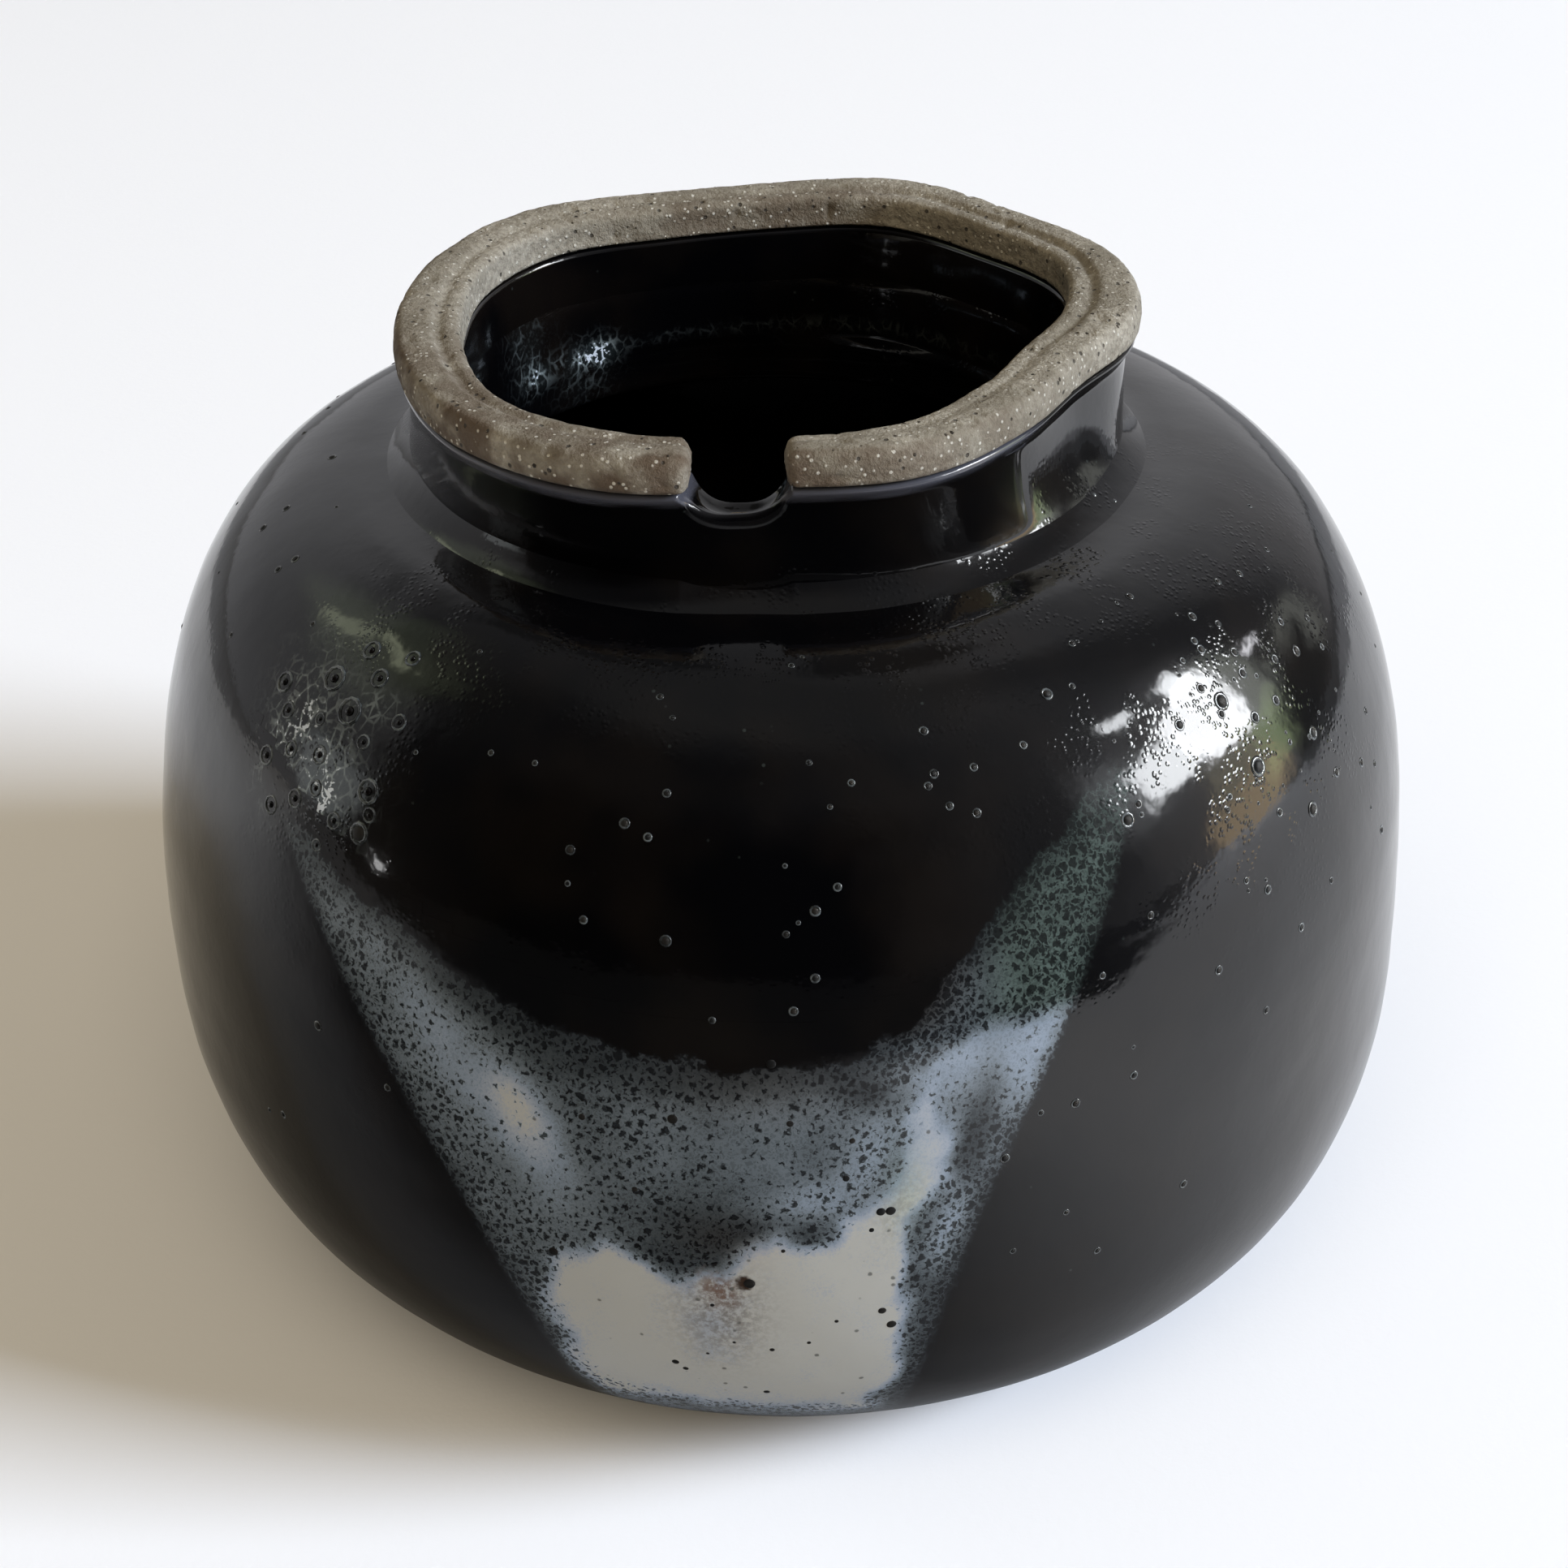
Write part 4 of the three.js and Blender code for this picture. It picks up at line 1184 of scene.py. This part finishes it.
def pits_and_bubbles(grid, normals, black):
    """Pinholes, burst bubbles, and the row of bubbles where the neck leaves the shoulder."""
    rng = np.random.default_rng(7)
    dark = grain_material("pit_dark", (0.004, 0.004, 0.004), (0.012, 0.01, 0.008), 0.6)
    lip = bubble_skin()
    tree = scatter_tree("pinholes", False)
    azimuth, z = degrees_at(grid), grid[..., 2]
    on_body = ((z > 6) & (z < 91)).astype(float)
    on_body[BODY_ROWS - 3:] = 0
    in_pour = pour_fields(grid)
    clear = (in_pour["edge"] < 1) | (in_pour["drop"] < -1)
    upper = 0.25 + ease(55, 84, z)
    weight = on_body * clear * upper + 1e-12

    def chosen(places):
        return [(*nearest(grid, normals, a, h), s) for a, h, s in places]

    black_places = chosen(BLACK_PITS) + spread(rng, grid, normals, 80, weight, (0.45, 1.1))
    right = weight * patches(azimuth, z, PITTED)
    black_places += spread(rng, grid, normals, 60, right + 1e-15, (0.4, 1.3))
    scatter("pinholes", tree, black_places, "black_glaze", PINHOLE, lip, dark)
    scatter("burst_bubbles", tree, chosen(BURST_BUBBLES), "black_glaze", BURST_BUBBLE, lip, black)
    scatter("white_pits", tree, chosen(WHITE_PITS), "white_glaze", WHITE_PIT, dark, dark)
    row = []
    for step in np.arange(-150, -22, 1.9):
        j = int(np.argmin(np.abs(np.degrees(coat_columns()) - step - rng.uniform(-0.4, 0.4))))
        i = BODY_ROWS + 1 + int(rng.integers(-2, 2))
        row.append((grid[i, j] - normals[i, j] * 0.08, normals[i, j], rng.uniform(0.8, 1.5)))
    scatter("crease_bubbles", tree, row, "black_glaze", CREASE_BUBBLE, lip, lip)


def grog(grid, outward):
    """Pale grains in the rim's clay, and dark specks that paint the shade in its pits."""
    rng = np.random.default_rng(11)
    tree = scatter_tree("grog", True)
    pale = grain_material("grog_pale", (0.33, 0.3, 0.235), (0.52, 0.49, 0.42), 0.9)
    # The dark specks stand for the rim's pits: their colour is painted shade.
    dark = grain_material("clay_pit", (0.02, 0.017, 0.013), (0.05, 0.04, 0.03), 0.95)
    weight = ease(RIM_TOP - RIM_HEIGHT - 0.2, RIM_TOP - RIM_HEIGHT + 0.4, grid[..., 2]) + 1e-9
    weight[:6] = weight[-6:] = 1e-9
    for name, count, material, sizes, sink in (
        ("grog_grains", 3000, pale, (0.22, 0.95), 0.1),
        ("clay_pits", 300, dark, (0.3, 1.1), 0.06),
    ):
        places = spread(rng, grid, outward, count, weight, sizes, sink)
        scatter(name, tree, places, "bare_clay", CLAY_GRAIN, material, material)


# Floor, light and camera


PAPER = (0.86, 0.86, 0.87)
PAPER_FRONT = -260
PAPER_BACK = 370


def paper_floor():
    """White paper. What the glaze mirrors of it is darkened at the front left with painted shade, and ends in
    front and behind.
    """
    size = 3.0
    corners = [(-size, -size, 0), (size, -size, 0), (size, size, 0), (-size, size, 0)]
    mesh = bpy.data.meshes.new("floor")
    mesh.from_pydata(corners, [], [(0, 1, 2, 3)])
    floor = bpy.data.objects.new("floor", mesh)
    scene.collection.objects.link(floor)
    material, graph, shader, place = new_material("paper")
    mesh.materials.append(material)
    fibre = graph.noise(place, 1.2, 4, 0.7)
    across, away = graph.parts(place)[:2]
    glossy = graph.add("ShaderNodeLightPath", {}, {}, "Is Glossy Ray")
    sway = (graph.noise(graph.scaled(place, 1, 0.3, 1), 90, 2) - 0.5) * 90
    # Painted shade in the glaze's mirror of the paper: dark at the front left and the left.
    dim = graph.math("MAXIMUM", graph.rise(across, -15, 120), graph.rise(away, -110, 70))
    dim = graph.math("MAXIMUM", dim, graph.rise(across, -200, -330) * 0.3)
    seen = graph.mix(dim, (0.01, 0.01, 0.01), (0.76, 0.76, 0.77))
    front = graph.rise(away + sway, PAPER_FRONT + 40, PAPER_FRONT - 40) * graph.rise(across, 800, 600)
    front = graph.math("MAXIMUM", front, graph.rise(away, -400, -480))
    seen = graph.mix(front, seen, (0.02, 0.02, 0.02))
    back = graph.rise(away + sway * 0.5, PAPER_BACK - 30, PAPER_BACK + 30)
    seen = graph.mix(back, seen, (0.32, 0.32, 0.33))
    far_right = graph.rise(across, 850, 1100) * graph.rise(away, 250, 400)
    seen = graph.mix(far_right, seen, (0.08, 0.08, 0.08))
    colour = graph.mix(glossy, PAPER, seen)
    plug(graph, shader, Base_Color=colour, Roughness=0.95, Normal=graph.bump(fibre * 0.05, 0.5))
    shader.inputs["Specular IOR Level"].default_value = 0.1


# Azimuths count from AZIMUTH_START, behind the camera's left, so that no bright part is cut in two
AZIMUTH_START = -135
# Brightness that the glaze mirrors low in the room, and high in it, at azimuths
LOW_ROOM = [
    (-135, 0.0), (-76, 0.0), (-58, 0.08), (-42, 0.16), (-30, 0.2), (-21, 0.36), (-12, 0.5), (13, 0.5),
    (19, 0.24), (27, 0.13), (36, 0.15), (43, 0.3), (50, 0.42), (62, 0.52), (76, 0.64), (94, 0.56),
    (120, 0.5), (146, 0.36), (176, 0.34), (186, 0.26), (193, 0.03), (224, 0.0),
]
HIGH_ROOM = [
    (-135, 0.03), (-100, 0.03), (-60, 0.1), (-30, 0.2), (0, 0.26), (22, 0.16), (34, 0.16), (46, 0.34),
    (62, 0.34), (90, 0.2), (120, 0.14), (150, 0.1), (180, 0.05), (224, 0.03),
]
ZENITH = 0.16
# What lights the colours from all round, and what the camera sees behind the paper
FILL = (0.24, 0.21, 0.16)
BACKDROP = (0.93, 0.93, 0.94)
# Bright and dark things in the room: azimuths, elevations, softness in degrees, and colour
ROOM = [
    ((-4, 11.5), (14.5, 33), 1.0, (16, 16.3, 16.8)),
    ((3, 12), (31, 38), 1.2, (15, 15.5, 16)),
    ((-17, -2), (17, 28), 1.2, (14, 14.5, 15)),
    ((-9.5, -3.5), (38.5, 41.5), 0.8, (14, 14.5, 15)),
    ((22, 26), (23, 26), 0.8, (9, 9, 9.5)),
    ((12, 19), (10, 33), 4, (1.4, 1.5, 1.3)),
    ((-26, -16), (16, 33), 5, (1.1, 1.15, 1.2)),
    ((6, 17), (2, 14), 2.5, (1.2, 1.6, 0.7)),
    ((-9, 10), (-8, 7), 2.5, (2.0, 1.45, 0.8)),
    ((-6, 8), (7, 14), 3, (0.9, 0.8, 0.5)),
    ((26, 37), (2, 17), 3, (0.6, 0.62, 0.55)),
    ((136, 178), (28, 52), 6, (0.2, 0.24, 0.15)),
    ((145, 151), (30, 41), 1.5, (0.9, 0.97, 0.65)),
    ((150, 167), (43, 45.6), 1.0, (1.5, 1.6, 1.1)),
    ((176, 190), (2, 14), 2, (0.7, 0.76, 0.76)),
    ((197, 199), (-1.4, 0.3), 0.5, (8, 8, 8)),
]
DARK_PATCHES = [
    ((15.5, 22), (-13, 1), 2), ((100, 122), (48, 70), 3), ((58, 84), (56, 72), 3), ((17, 33), (-2, 12), 3),
]


def room():
    """Soft even light for the colours, and the room that the glaze mirrors."""
    world = bpy.data.worlds.new("room")
    scene.world = world
    world.use_nodes = True
    graph = Graph(world.node_tree)
    direction = graph.add("ShaderNodeTexCoord", {}, {}, "Generated")
    wobble = graph.add("ShaderNodeTexNoise", {}, {"Vector": direction, "Scale": 7.0, "Detail": 2.0}) - 0.5
    x, y, z = graph.parts(direction)
    turned = graph.math("ARCTAN2", y, x) * math.degrees(1) - AZIMUTH_START
    azimuth = graph.math("WRAP", turned + wobble * 9, 360.0, 0.0)
    elevation = graph.math("ARCSINE", z) * math.degrees(1) + wobble * 8

    def band(values):
        stops = [((a - AZIMUTH_START) / 360, (v, v, v * 1.04)) for a, v in values]
        return graph.ramp(azimuth / 360.0, *stops)

    colour = graph.mix(graph.rise(elevation, 30, 50), band(LOW_ROOM), band(HIGH_ROOM))
    colour = graph.mix(graph.rise(elevation, 60, 80), colour, (ZENITH, ZENITH, ZENITH))
    place = graph.add("ShaderNodeCombineXYZ", {}, {0: azimuth, 1: elevation})

    def patch(across, up, soft):
        middle = (sum(across) / 2 - AZIMUTH_START, sum(up) / 2, 0)
        offset = graph.vector("ABSOLUTE", graph.vector("SUBTRACT", place, middle))
        half = ((across[1] - across[0]) / 2, (up[1] - up[0]) / 2)
        settings = {"data_type": "FLOAT_VECTOR", "interpolation_type": "SMOOTHSTEP"}
        limits = {6: offset, 7: (half[0] + soft, half[1] + soft, 1), 8: (half[0] - soft, half[1] - soft, 0)}
        beside, above = graph.parts(graph.add("ShaderNodeMapRange", settings, limits, 1))[:2]
        return beside * above

    for across, up, soft, bright in ROOM:
        lit = graph.mix(patch(across, up, soft), (0, 0, 0), bright)
        colour = graph.mix(1.0, colour, lit, "ADD")
    for across, up, soft in DARK_PATCHES:
        colour = graph.mix(patch(across, up, soft), colour, (0.06, 0.06, 0.06))
    rays = [graph.add("ShaderNodeLightPath", {}, {}, kind) for kind in ("Is Glossy Ray", "Is Camera Ray")]
    colour = graph.mix(rays[0], FILL, colour)
    colour = graph.mix(rays[1], colour, BACKDROP)
    background = world.node_tree.nodes["Background"]
    graph.tree.links.new(colour.socket, background.inputs["Color"])


def soft_lamp(name, azimuth, elevation, distance, size, energy, colour):
    """A square lamp aimed at the jar; the glaze doesn't mirror it, since the room holds the window."""
    light = bpy.data.lights.new(name, "AREA")
    light.shape = "SQUARE"
    light.size = size
    light.energy = energy
    light.color = colour
    lamp = bpy.data.objects.new(name, light)
    scene.collection.objects.link(lamp)
    turn, rise = math.radians(azimuth), math.radians(elevation)
    level = math.cos(rise)
    lamp.location = distance * Vector((level * math.cos(turn), level * math.sin(turn), math.sin(rise)))
    aim = Vector((0, 0, 0.05)) - lamp.location
    lamp.rotation_euler = aim.to_track_quat("-Z", "Y").to_euler()
    lamp.visible_glossy = False


# The focal length and the frame's width in pixels, where the camera stands, and which way it looks
FOCAL_PIXELS = 3400
FRAME_PIXELS = 1932
CAMERA_PLACE = (0, -0.27058, 0.21322)
CAMERA_WAY = (0.0015, 0.8551, -0.5185)


def camera():
    """The photograph's view: from the front, a little above the mouth."""
    data = bpy.data.cameras.new("camera")
    data.lens = data.sensor_width * FOCAL_PIXELS / FRAME_PIXELS
    data.clip_start = 0.01
    view = bpy.data.objects.new("camera", data)
    scene.collection.objects.link(view)
    view.location = CAMERA_PLACE
    view.rotation_euler = Vector(CAMERA_WAY).to_track_quat("-Z", "Y").to_euler()
    scene.camera = view


def dress():
    """Builds the pieces that are dressed anew, and gives the hidden clay its finish."""
    black, white = black_glaze(), poured_glaze()
    clay = bare_clay("bare_clay", "scorch")
    grid, normals = coat_and_pour(black, white)
    lining(black)
    foot(clay)
    rim_grid, rim_out = rim(clay)
    pits_and_bubbles(grid, normals, black)
    grog(rim_grid, rim_out)
    for name in ("floor_disc", "lower_wall", "shoulder_wall", "neck_collar"):
        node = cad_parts[name]
        node.data.materials.clear()
        node.data.materials.append(clay)


dress()
paper_floor()
room()
soft_lamp("window_light", -12, 28, 6.0, 2.0, 645, (0.76, 0.85, 1.0))
soft_lamp("room_light", -95, 50, 5.0, 4.0, 106, (1.0, 0.87, 0.67))
camera()
scene.view_settings.view_transform = "Standard"
